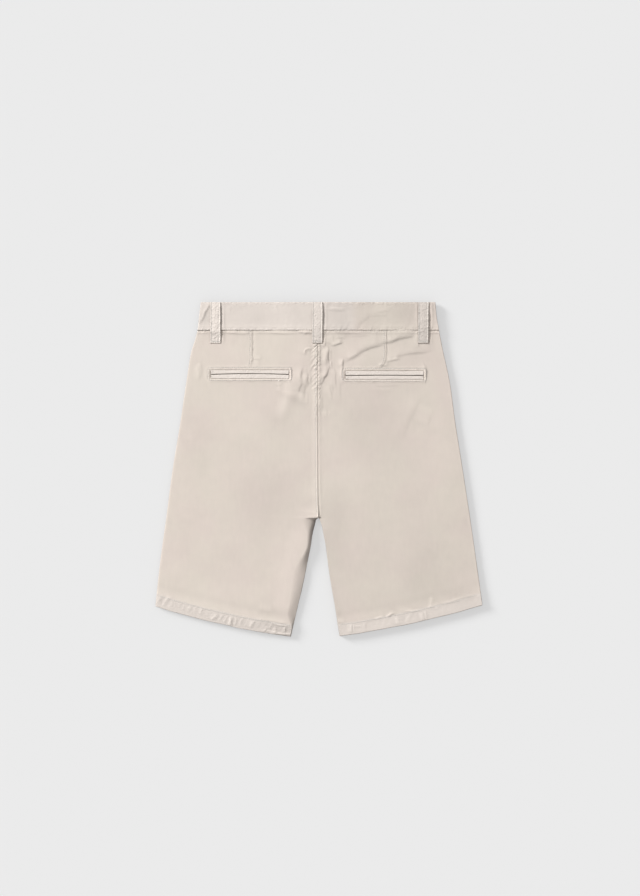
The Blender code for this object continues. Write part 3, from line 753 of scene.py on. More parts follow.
def crotch_relief(x, y):
    """The ends of the seams over the crotch: a ridge along the ledge, and a knot of thread."""
    ridge = 0.5 * bell(y - LEDGE - 1.9, 1.2) * ease((x + 17) / 8) * ease((1 - x) / 2)
    return ridge + 0.8 * bell(x - CENTRE_CROTCH_X, 2.0) * bell(y - LEDGE - 3.2, 1.5)


def dart_relief(half, x, y):
    """The darts from the waistband to the pockets: a stitched fold, with its stitches on the
    left of it."""
    total = np.zeros(x.shape)
    for dart in of_side(DARTS, half.name):
        distance, along, side = beside(curve_through(dart.path), x, y)
        fade = ease((1 - along) / 0.12)
        across = -side * distance
        shape = 0.55 * bell(across + DART_STITCH / 2, 1.0)
        shape -= 1.1 * bell(across, 0.7)
        shape += groove(across + DART_STITCH)
        total += fade * shape
    return total


def slit_height(pocket, x):
    """y of a pocket's slit."""
    return pocket.y + pocket.slit + pocket.bow * (1 - ((x - pocket.x) / WINDOW[0]) ** 2)


def outside(size, corner, along, up):
    """Distance out of a rounded rectangle with half sizes, and less than nothing inside."""
    wide = np.abs(along) - size[0] + corner
    high = np.abs(up) - size[1] + corner
    inside = np.minimum(np.maximum(wide, high), 0)
    return np.hypot(np.maximum(wide, 0), np.maximum(high, 0)) + inside - corner


def from_window(pocket, x, y):
    return outside(WINDOW, WINDOW_CORNER, x - pocket.x, y - pocket.y)


def from_frame(pocket, x, y):
    return outside(FRAME, FRAME_CORNER, x - pocket.x, y - pocket.y - FRAME_UP)


def pocket_relief(half, x, y):
    """The stitched rim round each pocket's window, and the window's sunk floor."""
    total = np.zeros(x.shape)
    for pocket in of_side(POCKETS, half.name):
        window = from_window(pocket, x, y)
        frame = from_frame(pocket, x, y)
        top = ease((y - pocket.y) / 8 + 0.5)
        end = ease((np.abs(x - pocket.x) - FRAME[0] + 3) / 3)
        rim = (0.28 + 0.32 * top + 0.4 * end) * ease((window + 0.2) / 0.9)
        rim *= 1 - ease((frame + 1.3) / (11 - 9.8 * np.maximum(top, end)))
        trough = (0.05 + 0.15 * top + 0.5 * end) * bell(frame - 0.3, 0.8)
        total += rim - trough - 1.3 * ease(-(window + 0.1) / 0.8)
    return total


def hem_relief(half, x, away):
    """The turned-up hem: thicker below its stitches, which pucker it. away is how far a place is
    from the hem's edge."""
    band = 0.5 * (1 - ease((away - HEM_STITCH - 3) / 12))
    patch = 0.5 + 0.5 * noise(x, 0 * x, 19.0, 24)
    pull = noise(x - 0.55 * away, 0.2 * away, (HEM_PUCKER[half.name], 5.0), 23) * patch
    held = 0.5 + 0.5 * noise(x, 0 * x, 11.0, 25)
    ridge = 0.1 * held * bell(away - HEM_STITCH - 1.2, 1.3)
    pull = 0.36 * pull * bell(away - 8.5, 5.5, 4)
    shape = band + ridge + pull + 0.25 * (1 - held) * groove(away - HEM_STITCH)
    if half is RIGHT:
        shape += HEM_LIFT * (1 - ease(away / HEM_STITCH))
    return np.where(away < 45, shape, 0)


def hem_droop(half, x, away):
    """The hems' inner ends droop towards the surface, and the left one curls up at its edge."""
    if half is RIGHT:
        return 0.7 * ease((HEM_STITCH - away) / HEM_STITCH) * ease((44 - x) / 20)
    curl = 0.9 * bell(away - 2.2, 1.3)
    return ease((x + 86) / 36) * (1.3 * ease((HEM_STITCH - away) / 9) - curl)


def waist_relief(x, y):
    """Puffing and small creases of the panels under the waistband's seam."""
    below = np.maximum(WAIST_SEAM - y, 0)
    ticks = noise(x + 0.3 * below, 0.15 * below, (2.6, 6.0), 31) * np.exp(-below / 3.2)
    pull = noise(x + 0.2 * below, 0.2 * below, (7.5, 9.0), 32) * np.exp(-below / 8.0)
    puff = (0.35 + 0.2 * noise(x, 0 * x, 13.0, 33)) * bell(below - 2.8, 1.3)
    return 0.25 * ticks + 0.2 * pull * ease(below / 3) + puff


def soft_relief(x, y):
    """The unevenness of cloth that has been worn and laid out by hand."""
    return rough(x, y, (0.22, 42.0, 41), (0.10, 19.0, 42), (0.035, 7.5, 43), (0.02, 3.4, 44))


def crest_relief(half, away, y):
    """How the legs rise towards their inseams."""
    height = smooth(y, CREST, half.name) * ease((-34 - y) / 26)
    return height * (1 - ease(away / CREST_WIDTH))


def inseam_relief(half, away, y):
    """The seam's allowance under the right leg's inner edge."""
    if half is LEFT:
        return 0
    return INSEAM_RIDGE * np.exp(-away / 2.6) * ease((LEDGE - y) / 14)


def edge_curve(half, levels):
    """How a half turns down towards its inner edge, row by row."""
    if half is RIGHT:
        return EDGE_CURVE
    return [smooth(levels, LEFT_FALL, exponent)[:, None] for exponent in ("start", "end")]


def near_lift(half, levels):
    """How far over the front a half's inner edge ends, row by row."""
    return smooth(levels, LEFT_FALL, "lift") if half is LEFT else 0 * levels


def back_half(half, levels, hem_top, middles, inset=0.0):
    """Outer face of one half of the back, or with an inset the face of a layer inside it.

    Its edges come down on the front, which is two layers thick from hem_top down."""
    roll = smooth(levels, ROLL, half.name)[:, None]
    tuck = half.tuck if inset else 0.0
    far, far_share = turned_edge(len(levels), inset)
    x, y, across = spread(half, levels, tuck + NEAR_STEPS * (roll - tuck), far, middles)
    near = np.s_[:, : len(NEAR_STEPS)]
    risen = turned(NEAR_STEPS, edge_curve(half, levels))
    near_share = 1 - (1 - risen) * ease((LEDGE + LEDGE_DROP / 2 - y[near]) / LEDGE_DROP)
    share = np.hstack([near_share, np.ones((len(levels), len(middles))), far_share[:, ::-1]])
    foot = front_height(y) + 0.35 * np.where(levels > hem_top, WALL, DOUBLE)[:, None]
    foot[near] += near_lift(half, levels)[:, None]
    away = np.abs(x - inner_x(half, levels[:, None]))
    from_hem, _, _ = beside(hem_line(half), x, y)
    top = lie_of(across, x, y) + crest_relief(half, away, y) - hem_droop(half, x, from_hem)
    if inset:
        foot = foot + 0.6 * inset
        top = np.maximum(top - inset, foot)
    else:
        top += seam_relief(half, x, y) + dart_relief(half, x, y) + pocket_relief(half, x, y)
        top += hem_relief(half, x, from_hem) + waist_relief(x, y) + creased(BACK_CREASES, x, y)
        top += crotch_relief(x, y) + soft_relief(x, y) + inseam_relief(half, away, y)
    return as_grid(x, y, foot + (top - foot) * share)


def folded(outer, inner):
    """The outer rows, the bend at their end, and the inner rows back from it, as one grid."""
    middle = (outer[-1] + inner[-1]) / 2
    radius = (outer[-1] - inner[-1]) / 2
    ahead = outer[-1] - outer[-2]
    ahead *= DOUBLE / 2 / np.linalg.norm(ahead, axis=1, keepdims=True)
    angles = np.linspace(0, np.pi, BEND_STEPS + 1)[1:-1]
    bend = [middle + np.cos(angle) * radius + np.sin(angle) * ahead for angle in angles]
    return np.concatenate([outer, bend, inner[::-1]])


# ---------------------------------------------------------------- other faces

def front_half(half, levels, inset=0.0):
    """Outer face of one half of the front, or with an inset that of a layer that lies on it."""
    edge = 0.5 * np.ones((len(levels), 1))
    middles = np.linspace(0, 1, round(PANEL_WIDTH / FRONT_STEP))[1:-1]
    x, y, _ = spread(half, levels, edge, edge, middles)
    away = np.abs(x - inner_x(half, levels[:, None]))
    relief = 0.16 + rough(x, y, (0.12, 24.0, 51), (0.04, 6.0, 52)) + 0.35 * bell(away, 1.2)
    relief += near_lift(half, levels)[:, None] * (1 - ease(away / 7)) + creased(FRONT_CREASES, x, y)
    return as_grid(x, y, front_height(y) + relief + inset)


def band_rows():
    """Heights y of the waistband's rows, as a column."""
    return np.linspace(WAIST_SEAM - 0.2, WAIST_TOP - DOUBLE / 2, BAND_ROWS)[:, None]


def band_relief(x, y):
    """The waistband's puckers and creases."""
    up = y - WAIST_SEAM
    down = WAIST_TOP - y
    lower = 0.30 * noise(x - 0.4 * up, 0.3 * up, (3.6, 6.0), 61) * np.exp(-up / 4.5)
    upper = 0.25 * noise(x + 0.2 * down, 0.3 * down, (4.2, 6.0), 62) * np.exp(-down / 4.5)
    broad = rough(x, y, (0.24, (22.0, 15.0), 63), (0.06, 5.0, 64))
    puff = 0.25 * bell(up - 4.5, 2.6)
    return lower + upper + broad + puff + creased(BAND_CREASES, x, y)


def back_band(inset=0.0):
    """The back waistband's face, in rows from its seam up and from the left to the right."""
    y = band_rows()
    edge, edge_share = turned_edge(len(y), inset)
    left = smooth(y, OUTSEAM, "left") + edge
    right = smooth(y, OUTSEAM, "right") - edge[:, ::-1]
    width = right[:, :1] - left[:, -1:]
    middle = left[:, -1:] + width * np.linspace(0, 1, round(BAND_WIDTH / BAND_STEP))[1:-1]
    x = np.hstack([left, middle, right])
    share = np.hstack([edge_share, np.ones_like(middle), edge_share[:, ::-1]])
    y = np.broadcast_to(y, x.shape)
    across = (x - CENTRE_TOP_X) / np.where(x < CENTRE_TOP_X, x[:, :1], x[:, -1:])
    foot = FRONT_RISE + 0.6 * DOUBLE
    top = lie_of(across, x, y) + BAND_RISE - inset
    if not inset:
        top += band_relief(x, y)
        top -= 1.1 * (1 - turned((y - WAIST_SEAM + 0.2) / 1.0, (2, 2)))
    return as_grid(x, y, foot + (top - foot) * share)


def front_band(half, inset=0.0):
    """The face of one half of the front waistband, in rows up and from the outseam inwards.

    The left end laps under the centre. The right end bends up to lie over it."""
    y = band_rows()
    outer = smooth(y, OUTSEAM, half.name) - 0.5 * half.sign
    end = CENTRE_TOP_X + (BAND_LAP if half is LEFT else -BAND_UNDERLAP)
    bend = CENTRE_TOP_X + BAND_LAP + 0.3
    steps = np.linspace(0, 1, 60)
    if half is LEFT:
        x = outer + (end - outer) * steps
        risen = 0
    else:
        lapped = np.linspace(bend + BAND_BEND, end, 24)[1:] * np.ones_like(y)
        x = np.hstack([outer + (bend + BAND_BEND - outer) * steps, lapped])
        risen = ease((bend + BAND_BEND - x) / BAND_BEND)
    y = np.broadcast_to(y, x.shape)
    relief = 0.10 * (1 + noise(x, y, (12.0, 14.0), 71)) - groove(y - WAIST_SEAM - EDGESTITCH)
    return as_grid(x, y, FRONT_RISE + inset + (DOUBLE + 0.2) * risen + (0 if inset else relief))


# ---------------------------------------------------------------- meshes

Sheet = namedtuple("Sheet", "piece grid")


def quad_mesh(name, points, closed=False):
    """A mesh of quads through points in rows and columns. closed joins the last column to the
    first."""
    index = np.arange(points.size // 3).reshape(points.shape[:-1])
    if closed:
        index = np.concatenate([index, index[..., :1]], axis=-1)
    corners = [index[..., :-1, :-1], index[..., 1:, :-1], index[..., 1:, 1:], index[..., :-1, 1:]]
    quads = np.stack(corners, axis=-1).reshape(-1, 4)
    mesh = bpy.data.meshes.new(name)
    mesh.from_pydata((points.reshape(-1, 3) * MM).tolist(), [], quads.tolist())
    return mesh


def add_layer(mesh, name, values):
    """A number for each of a mesh's points, which its material reads by name."""
    layer = mesh.attributes.new(name, "FLOAT", "POINT")
    values = np.broadcast_to(np.asarray(values, np.float32).ravel(), len(mesh.vertices))
    layer.data.foreach_set("value", np.ascontiguousarray(values))


def add_piece(name, mesh, finish, *nodes):
    """A piece that rides on the body, wears a finish and stands for the CAD nodes named."""
    mesh.materials.append(finish)
    mesh.shade_smooth()
    piece = bpy.data.objects.new(name, mesh)
    garment.objects.link(piece)
    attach(piece, "root")
    if nodes:
        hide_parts(*nodes)
    return piece


def add_twill(node, mesh, wear=0.0, washed=0.0, sewn=0.0):
    """A piece of twill in place of a CAD node. Point by point, wear is how far the
    cloth is rubbed light and painted lighter, or less than nothing where painted shade darkens it,
    washed how far it is washed out at stitched edges, and sewn how far stitches pucker it."""
    for name, values in (("wear", wear), ("washed", washed), ("sewn", sewn)):
        add_layer(mesh, name, values)
    return add_piece(f"twill_{node}", mesh, twill, node)


def cloth(node, grid, faces_up, **layers):
    """A wall of twill in place of a CAD node. Its outer face has the grid's points, and looks up
    where it starts or down."""
    mesh = quad_mesh(f"twill_{node}", grid)
    first_row = np.cross(grid[1, :-1] - grid[0, :-1], np.diff(grid[0], axis=0))
    if (first_row[:, 2].sum() > 0) != faces_up:
        mesh.flip_normals()
    piece = add_twill(node, mesh, **layers)
    wall = piece.modifiers.new("wall", "SOLIDIFY")
    wall.thickness = WALL * MM
    wall.offset = -1.0
    return Sheet(piece, grid)


def strip(node, grid, wear, sewn):
    """A closed strip of twill from rings of points, its two ends closed."""
    mesh = quad_mesh(f"twill_{node}", grid, closed=True)
    shape = bmesh.new()
    shape.from_mesh(mesh)
    bmesh.ops.holes_fill(shape, edges=[edge for edge in shape.edges if edge.is_boundary], sides=0)
    bmesh.ops.recalc_face_normals(shape, faces=shape.faces)
    shape.to_mesh(mesh)
    shape.free()
    return add_twill(node, mesh, wear, washed=1.0, sewn=sewn)


def face_of(pieces, side=1):
    """Reads the height of the pieces' upper faces at any x and y, or with side -1 of their lower
    faces."""
    depsgraph = bpy.context.evaluated_depsgraph_get()
    trees = [BVHTree.FromObject(piece, depsgraph) for piece in pieces]

    def height(x, y):
        start = Vector((x * MM, y * MM, side))
        hits = [tree.ray_cast(start, Vector((0, 0, -side))) for tree in trees]
        return side * max((side * hit[0].z / MM for hit in hits if hit[0]), default=0.0)

    return height


# ---------------------------------------------------------------- wear, painted light and painted shade

def relief_rub_and_shade(grid, rows):
    """How far the points of a grid's first rows stand over their neighbours: ridges, rubbed light and
    with painted highlight, and grooves, darkened with painted shade. The other rows are inside."""
    height = grid[..., 2]
    steps = range(2 * RIDGE_REACH + 1)
    padded = np.pad(height, RIDGE_REACH, mode="edge")
    near = [padded[i : i + height.shape[0], j : j + height.shape[1]] for i in steps for j in steps]
    wear = np.clip((height - sum(near) / len(near)) / RIDGE_HEIGHT, -1, 1)
    wear[rows:] = 0
    return wear


def painted_tones(x, y):
    """How much lighter or darker the broad patches of painted light and shade make the cloth."""
    return sum(tone.shade * bell(x - tone.x, tone.wide) * bell(y - tone.y, tone.tall) for tone in TONES)


def painted_light_and_shade(half, x, y, from_hem):
    """Painted light on one half of the back: highlights at its pocket's rim and foot, under the
    waistband and beside the centre seam, with painted shade there low down on the right, and a light
    line along the right hem's stitches. Its hem is otherwise a little darker."""
    away = np.abs(x - centre_x(y))
    hem = HEM_TONE[half.name] * (1 - ease((from_hem - HEM_STITCH) / 3))
    if half is LEFT:
        # A painted highlight along the left half's folded edge.
        seam = FOLD_PAINTED_HIGHLIGHT * bell(away - 1.2, 0.6)
    else:
        # A painted highlight beside the seam low down, and painted shade in the gutter beside it.
        seam = bell(away - 2.6, 0.6) * ease((60 - y) / 60)
        seam -= GUTTER_SHADE * bell(away - 1.3, 0.6) * ease((90 - y) / 10)
        # A line of painted light along the right hem's stitches.
        hem += HEM_LINE_PAINTED_LIGHT * bell(from_hem - HEM_STITCH, 1.1)
    # Painted light on the panels just under the waistband's seam.
    total = hem + seam * ease((y - LEDGE) / 3) + WAIST_PAINTED_LIGHT * bell(WAIST_SEAM - y - 1.5, 0.8)
    for pocket in of_side(POCKETS, half.name):
        # A painted highlight on the pocket's rim, and painted light on the foot of its frame.
        total += RIM_PAINTED_HIGHLIGHT * bell(from_window(pocket, x, y) - 0.9, 0.7)
        total += FRAME_PAINTED_LIGHT * bell(from_frame(pocket, x, y) - 0.6, 1.2) * ease((pocket.y - 4 - y) / 2)
    return total


def painted_shade(half, x, y):
    """Painted shade on one half of the back, as so many grooves: in the inside of its pocket behind
    the lips, in the hole over the crotch with a ring of painted light round it, and on the left in
    the fold under the crotch."""
    from_knot = np.hypot(x - KNOT[0], y - KNOT[1])
    # Painted shade in the knot's hole, with a ring of painted light round it.
    total = KNOT_SHADE * bell(from_knot, 0.8) - 1.5 * bell(from_knot, 2.2)
    for pocket in of_side(POCKETS, half.name):
        # Painted shade inside the pocket, behind its lips.
        total += POCKET_SHADE * ease(-from_window(pocket, x, y) - 0.6)
    if half is LEFT:
        # Painted shade in the fold under the crotch.
        away = np.abs(x - inner_x(half, y))
        total += CROTCH_SHADE * (1 - ease((away - 1) / 6)) * ease((LEDGE - y) / 2) * ease((y + 100) / 28)
    return total


def panel_sewn(half, x, y, from_hem):
    """How far the stitches pucker one half of the back: beside the seams, round the pocket, along
    the dart, under the waistband and over the hem."""
    away = np.abs(x - centre_x(y))
    sewn = [bell(away - 2, 2.5) * (0.3 + 0.7 * ease((y - 40) / 60)) * (y > LEDGE),
            0.9 * np.exp(-np.maximum(WAIST_SEAM - y, 0) / 2.5),
            HEM_SEWN[half.name] * (1 - ease((from_hem - HEM_STITCH - 1) / 2.5))]
    for pocket in of_side(POCKETS, half.name):
        sewn.append(0.9 * bell(from_frame(pocket, x, y) + 0.3, 1.8))
    for dart in of_side(DARTS, half.name):
        distance, _, _ = beside(curve_through(dart.path) - (DART_STITCH / 2, 0), x, y)
        sewn.append(0.6 * bell(distance, 2.5))
    return np.max(sewn, axis=0)


# ---------------------------------------------------------------- pieces

def add_panels():
    """The four panels: each half of the back and of the front, hems turned up inside."""
    panels = {}
    for half in (LEFT, RIGHT):
        levels, hem = levels_of(half, ROW_STEP, ROW_ZONES)
        columns = stations(FIRST_COLUMN, LAST_COLUMN, COLUMN_STEP, COLUMN_ZONES[half.name])[1:-1]
        middles = (columns - FIRST_COLUMN) / (LAST_COLUMN - FIRST_COLUMN)
        outer = back_half(half, levels, hem[0], middles)
        grid = folded(outer, back_half(half, hem[2:], hem[0], middles, DOUBLE))
        x = grid[..., 0]
        y = grid[..., 1]
        from_hem, _, _ = beside(hem_line(half), x, y)
        # Rubbed ridges with painted shade in the grooves, painted tones and highlights, less painted
        # shade.
        wear = relief_rub_and_shade(grid, len(levels)) + painted_tones(x, y) + painted_light_and_shade(half, x, y, from_hem)
        wear -= painted_shade(half, x, y)
        washed = 1 - ease((from_hem - HEM_STITCH) / 3)
        sewn = panel_sewn(half, x, y, from_hem)
        node = f"back_{half.name}"
        panels[node] = cloth(node, grid, faces_up=True, wear=wear, washed=washed, sewn=sewn)
        levels, hem = levels_of(half, FRONT_STEP, [])
        grid = folded(front_half(half, levels), front_half(half, hem[2:], DOUBLE))
        node = f"front_{half.name}"
        panels[node] = cloth(node, grid, faces_up=False)
    return panels


def add_waistband():
    """The back waistband in one piece and the front one in two, each folded at its top."""
    bands = {}
    for half in (LEFT, RIGHT):
        node = f"waistband_front_{half.name}"
        grid = folded(front_band(half), front_band(half, DOUBLE))
        bands[node] = cloth(node, grid, faces_up=False)
    outer = back_band()
    grid = folded(outer, back_band(DOUBLE))
    x = grid[..., 0]
    y = grid[..., 1]
    # Rubbed ridges with painted shade in the grooves, and painted tones.
    wear = relief_rub_and_shade(grid, len(outer)) + painted_tones(x, y)
    washed = 1 - ease((x - BAND_WASHED) / 12)
    sewn = 0.7 * np.maximum(np.exp((WAIST_SEAM - y) / 4), np.exp((y - WAIST_TOP) / 4))
    node = "waistband_back"
    bands[node] = cloth(node, grid, faces_up=True, wear=wear, washed=washed, sewn=sewn)
    return bands


def ring(width, thickness, sides, squareness=0.55):
    """A strip's cross-section: a rounded rectangle, from one edge over its face and back."""
    angle = np.linspace(0, 2 * np.pi, sides, endpoint=False)
    across = np.sign(np.cos(angle)) * np.abs(np.cos(angle)) ** squareness
    up = np.sign(np.sin(angle)) * np.abs(np.sin(angle)) ** squareness
    return -across * width / 2, (up + 1) * thickness / 2


def smoothed(heights, kernel):
    """Heights averaged with their neighbours, as a column."""
    held = np.pad(heights, len(kernel) // 2, mode="edge")
    return np.convolve(held, kernel / kernel.sum(), mode="valid")[:, None]


def loop_rings(middle, ground, seed):
    """The rings of a belt loop of the back, from the top down. It bows out over the waistband,
    is creased across, and is held down by a bar of stitches at each end."""
    down = np.linspace(0, 1, 110)[:, None]
    y = LOOP_TOP + (LOOP_BOTTOM - LOOP_TOP) * down
    across, up = ring(LOOP_WIDTH, LOOP_WALL, 56, 0.2)
    base = np.array([max(ground(middle + dx, level) for dx in (-6, -3, 0, 3, 6)) for level in y[:, 0]])
    windows = [base[max(i - LOOP_REACH, 0) : i + LOOP_REACH + 1] for i in range(len(base))]
    crest = smoothed([window.max() for window in windows], np.hanning(2 * LOOP_REACH + 1))
    slack = LOOP_SLACK * np.sin(np.pi * down) ** 0.7
    x = middle + across * (1 + 0.02 * noise(y, y, 9.0, seed))
    x = x + 0.35 * noise(y, 0 * y, 22.0, seed + 1)
    face = (up > 0.6 * LOOP_WALL) * 1.0
    edge = LOOP_WIDTH / 2 - np.abs(across)
    held = bell(down - 0.045, 0.02) + bell(down - 0.955, 0.02)
    crumple = 0.42 * noise(x + 0.6 * y, y - 0.6 * x, (6.0, 3.2), seed + 2)
    relief = 0.7 * groove(edge - LOOP_STITCH) + crumple * np.sin(np.pi * down) ** 0.4 - 0.2 * held
    relief = relief + 0.25 * bell(edge - 0.7, 0.5)
    ends = turned(np.minimum(down, 1 - down) / 0.015, (2, 2))
    z = crest + TRIM_GAP + slack + up * (0.35 + 0.65 * ends) + face * relief
    return as_grid(x, y, z)


def add_loops(ground):
    """All the belt loops: three over the back waistband, and two pressed flat under the front."""
    loops = []
    for seed, loop in enumerate(BACK_LOOPS):
        grid = loop_rings(loop.x, ground, 80 + 5 * seed)
        # Painted light on the left loop, shade on the right, and highlights along right and lower edges.
        rim = bell(grid[..., 0] - loop.x - LOOP_WIDTH / 2 + LOOP_RIM, 0.8)
        foot = bell(grid[..., 1] - LOOP_BOTTOM - LOOP_RIM, 0.8)
        wear = loop.wear + 3 * np.maximum(rim, foot)
        loops.append(strip(f"belt_loop_back_{loop.name}", grid, wear, sewn=0.6))
    for name, middle in FRONT_LOOPS.items():
        y = np.linspace(FRONT_LOOP_TOP, LOOP_BOTTOM, 40)[:, None]
        across, up = ring(FRONT_LOOP_WIDTH, LOOP_WALL, 32)
        edge = LOOP_WIDTH / 2 - np.abs(across)
        z = FRONT_RISE - 0.1 - up + 0.3 * (up > 1) * bell(edge - LOOP_STITCH, 0.5)
        loops.append(strip(f"belt_loop_front_{name}", as_grid(middle + across, y, z), wear=0.3, sewn=0.3))
    return loops


def add_welts(ground):
    """The two pillowed lips of each back pocket, either side of its slit."""
    lips = {"left": [], "right": []}
    for pocket in POCKETS:
        for name, sign, seed in (("upper", 1, 101), ("lower", -1, 107)):
            reach = WINDOW[0] - LIP_END
            x = pocket.x + np.linspace(-reach, reach, 130)[:, None]
            near = slit_height(pocket, x) + sign * SLIT / 2
            far = pocket.y + sign * (WINDOW[1] - LIP_MARGIN)
            middle = (near + far) / 2
            across, up = ring(1.0, LIP_WALL, 28, 0.4)
            y = middle - across * np.abs(far - near) + 0.15 * noise(x, 0 * x, 11.0, seed)
            base = np.array([ground(*place) for place in np.hstack([x, middle])])
            fullness = 1 + 0.07 * noise(x + sign * y, y, (6.5, 5.0), seed + 1)
            grid = as_grid(x, y, smoothed(base, np.ones(9)) + TRIM_GAP + up * fullness)
            lips[pocket.side].append(strip(f"welt_{pocket.side}_{name}", grid, LIP_WEAR, sewn=0.45))
    return lips


# ---------------------------------------------------------------- stitches

def along_path(points, pitch):
    """Places a pitch apart along a path, and the direction of the path at each."""
    points = np.array(points, float)
    lengths = np.concatenate([[0.0], np.cumsum(np.hypot(*np.diff(points, axis=0).T))])
    reached = np.arange(pitch / 2, lengths[-1], pitch)
    places = np.stack([np.interp(reached, lengths, points[:, axis]) for axis in (0, 1)], axis=1)
    ahead = [np.interp(reached + 0.5, lengths, points[:, axis]) for axis in (0, 1)]
    run = np.stack(ahead, axis=1) - places
    return places, run / np.maximum(np.linalg.norm(run, axis=1, keepdims=True), 1e-6)


def add_stitches(name, rows, ground, holes=1.0, side=1):
    """Rows of stitches as one piece: each stitch is a short thread, thinner at its ends, that
    dives into a hole in the cloth there. holes is how much painted shade darkens those ends, and
    side is 1 on an upper face and -1 on a lower one."""
    second = np.array(STITCH_PROFILE)
    first = second[:0:-1] * (-1, 1, 1, 1, 1)
    along, wide, tall, lift, hole = np.vstack([first, second]).T
    angle = -np.linspace(0, 2 * np.pi, STITCH_SIDES, endpoint=False)  # so that faces look out
    ends = np.array([-1.1, 0.0, 1.1])
    stitches = []
    for row in rows:
        for place, run in zip(*along_path(row, STITCH_PITCH)):
            if not np.linalg.norm(run):
                continue
            reach = run * STITCH_LENGTH / 2
            level = np.interp(along, ends, [ground(*(place + reach * end)) for end in ends])
            spine = place + np.outer(along, reach)
            aside = np.array([-run[1], run[0]])
            xy = spine[:, None, :] + np.outer(wide, np.cos(angle))[..., None] * aside
            z = (level + side * lift)[:, None] + np.outer(tall, np.sin(angle))
            stitches.append(np.concatenate([xy, z[..., None]], axis=2))
    mesh = quad_mesh(name, np.array(stitches), closed=True)
    # How much painted shade darkens each stitch's ends in their holes.
    add_layer(mesh, "hole", np.tile(np.repeat(holes * hole, STITCH_SIDES), len(stitches)))
    return add_piece(name, mesh, thread)


def seam_row(top, steps):
    """Beside a centre seam, from a height y down to the crotch."""
    y = np.linspace(top, CROTCH + SEAM_END, steps)
    return np.stack([centre_x(y) - TOPSTITCH, y], axis=1)


def pocket_row(pocket):
    """Once round the pocket's frame, with its corners cut."""
    wide = FRAME[0] - FRAME_STITCH
    high = FRAME[1] - FRAME_STITCH
    cut = FRAME_CORNER / 2
    corner = [(wide - cut, high), (wide, high - cut)]
    end = corner + [(x, -y) for x, y in corner[::-1]]
    return np.array(end + [(-x, -y) for x, y in end] + end[:1]) + (pocket.x, pocket.y + FRAME_UP)


def hem_row(half):
    """Along a hem, a fixed distance in from its edge."""
    edge = hem_line(half)[1:-1]
    run = np.gradient(edge, axis=0)
    inward = np.stack([-run[:, 1], run[:, 0]], axis=1)
    inward *= np.sign(inward[:, 1:])
    inward /= np.linalg.norm(inward, axis=1, keepdims=True)
    return edge + HEM_STITCH * inward


def dart_row(dart):
    """Along a dart, but for its ends."""
    return curve_through(dart.path)[2:-3] - (DART_STITCH, 0)


def front_rows(half):
    """One half of the front: its hem and the mouth of its slanted pocket. The left one has the fly
    and the seam under it too."""
    mouth = np.array([(POCKET_TOP, WAIST_SEAM - 3), POCKET_FOOT])
    rows = [hem_row(half)]
    rows += [(mouth - (inward, 0)) * (half.sign, 1) for inward in (0.0, POCKET_ROWS)]
    if half is LEFT:
        rows += [curve_through(FLY), seam_row(FLY[-1][1], 30)]
    return rows


def loop_rows(middle):
    """Both edges of a belt loop, and the bar across its lower end."""
    edge = LOOP_WIDTH / 2 - LOOP_STITCH
    top = LOOP_TOP - 1.0
    bottom = LOOP_BOTTOM + 1.0
    rows = [[(x, top), (x, bottom)] for x in (middle - edge, middle + edge)]
    for level in (bottom + 0.8, bottom + 1.6):
        rows.append([(middle - LOOP_BAR / 2, level), (middle + LOOP_BAR / 2, level)])
    return rows


# ---------------------------------------------------------------- materials

class Look:
    """A material in the making: its shader's inputs, and ways to add nodes in front of them."""

    def __init__(self, name, colour, roughness):
        self.material = bpy.data.materials.new(name)
        self.material.use_nodes = True
        self.tree = self.material.node_tree
        self.inputs = self.tree.nodes["Principled BSDF"].inputs
        self.inputs["Base Color"].default_value = (*colour, 1.0)
        self.inputs["Roughness"].default_value = roughness

    @cached_property
    def place(self):
        """Where a point is on its object."""
        return self.node("ShaderNodeTexCoord").outputs["Object"]

    def node(self, kind, **settings):
        added = self.tree.nodes.new(kind)
        for key, value in settings.items():
            setattr(added, key, value)
        return added

    def feed(self, socket, value):
        """Gives a socket a constant, or another node's output."""
        if isinstance(value, bpy.types.NodeSocket):
            self.tree.links.new(value, socket)
        else:
            socket.default_value = value

    def attribute(self, name):
        """A mesh's layer of numbers."""
        return self.node("ShaderNodeAttribute", attribute_name=name).outputs["Fac"]

    def math(self, operation, *values):
        made = self.node("ShaderNodeMath", operation=operation)
        for socket, value in zip(made.inputs, values):
            self.feed(socket, value)
        return made.outputs[0]

    def total(self, start, *terms):
        """A number, with each of the terms added that many times."""
        for value, times in terms:
            start = self.math("MULTIPLY_ADD", value, times, start)
        return start

    def noise(self, scale, detail=2.0, distortion=0.0, place=None):
        """Clouds, about that many to a metre."""
        made = self.node("ShaderNodeTexNoise")
        self.feed(made.inputs["Vector"], place or self.place)
        self.feed(made.inputs["Scale"], scale)
        self.feed(made.inputs["Detail"], detail)
        self.feed(made.inputs["Distortion"], distortion)
        return made.outputs["Fac"]

    def blotched(self, noise, first, second):
        """The first colour, going over into the second where the noise is high."""
        ramp = self.node("ShaderNodeValToRGB")
        for element, position, colour in zip(ramp.color_ramp.elements, (0.35, 0.65), (first, second)):
            element.position = position
            element.color = (*colour, 1.0)
        self.feed(ramp.inputs["Fac"], noise)
        return ramp.outputs["Color"]

    def bump(self, strength, depth, height, normal=None):
        made = self.node("ShaderNodeBump")
        self.feed(made.inputs["Strength"], strength)
        self.feed(made.inputs["Distance"], depth)
        self.feed(made.inputs["Height"], height)
        if normal:
            self.feed(made.inputs["Normal"], normal)
        return made.outputs["Normal"]

    def shade_with(self, colour, shade):
        """The shader's colour becomes this one, times a shade."""
        tint = self.node("ShaderNodeVectorMath", operation="SCALE")
        self.feed(tint.inputs[0], colour)
        self.feed(tint.inputs["Scale"], shade)
        self.feed(self.inputs["Base Color"], tint.outputs["Vector"])


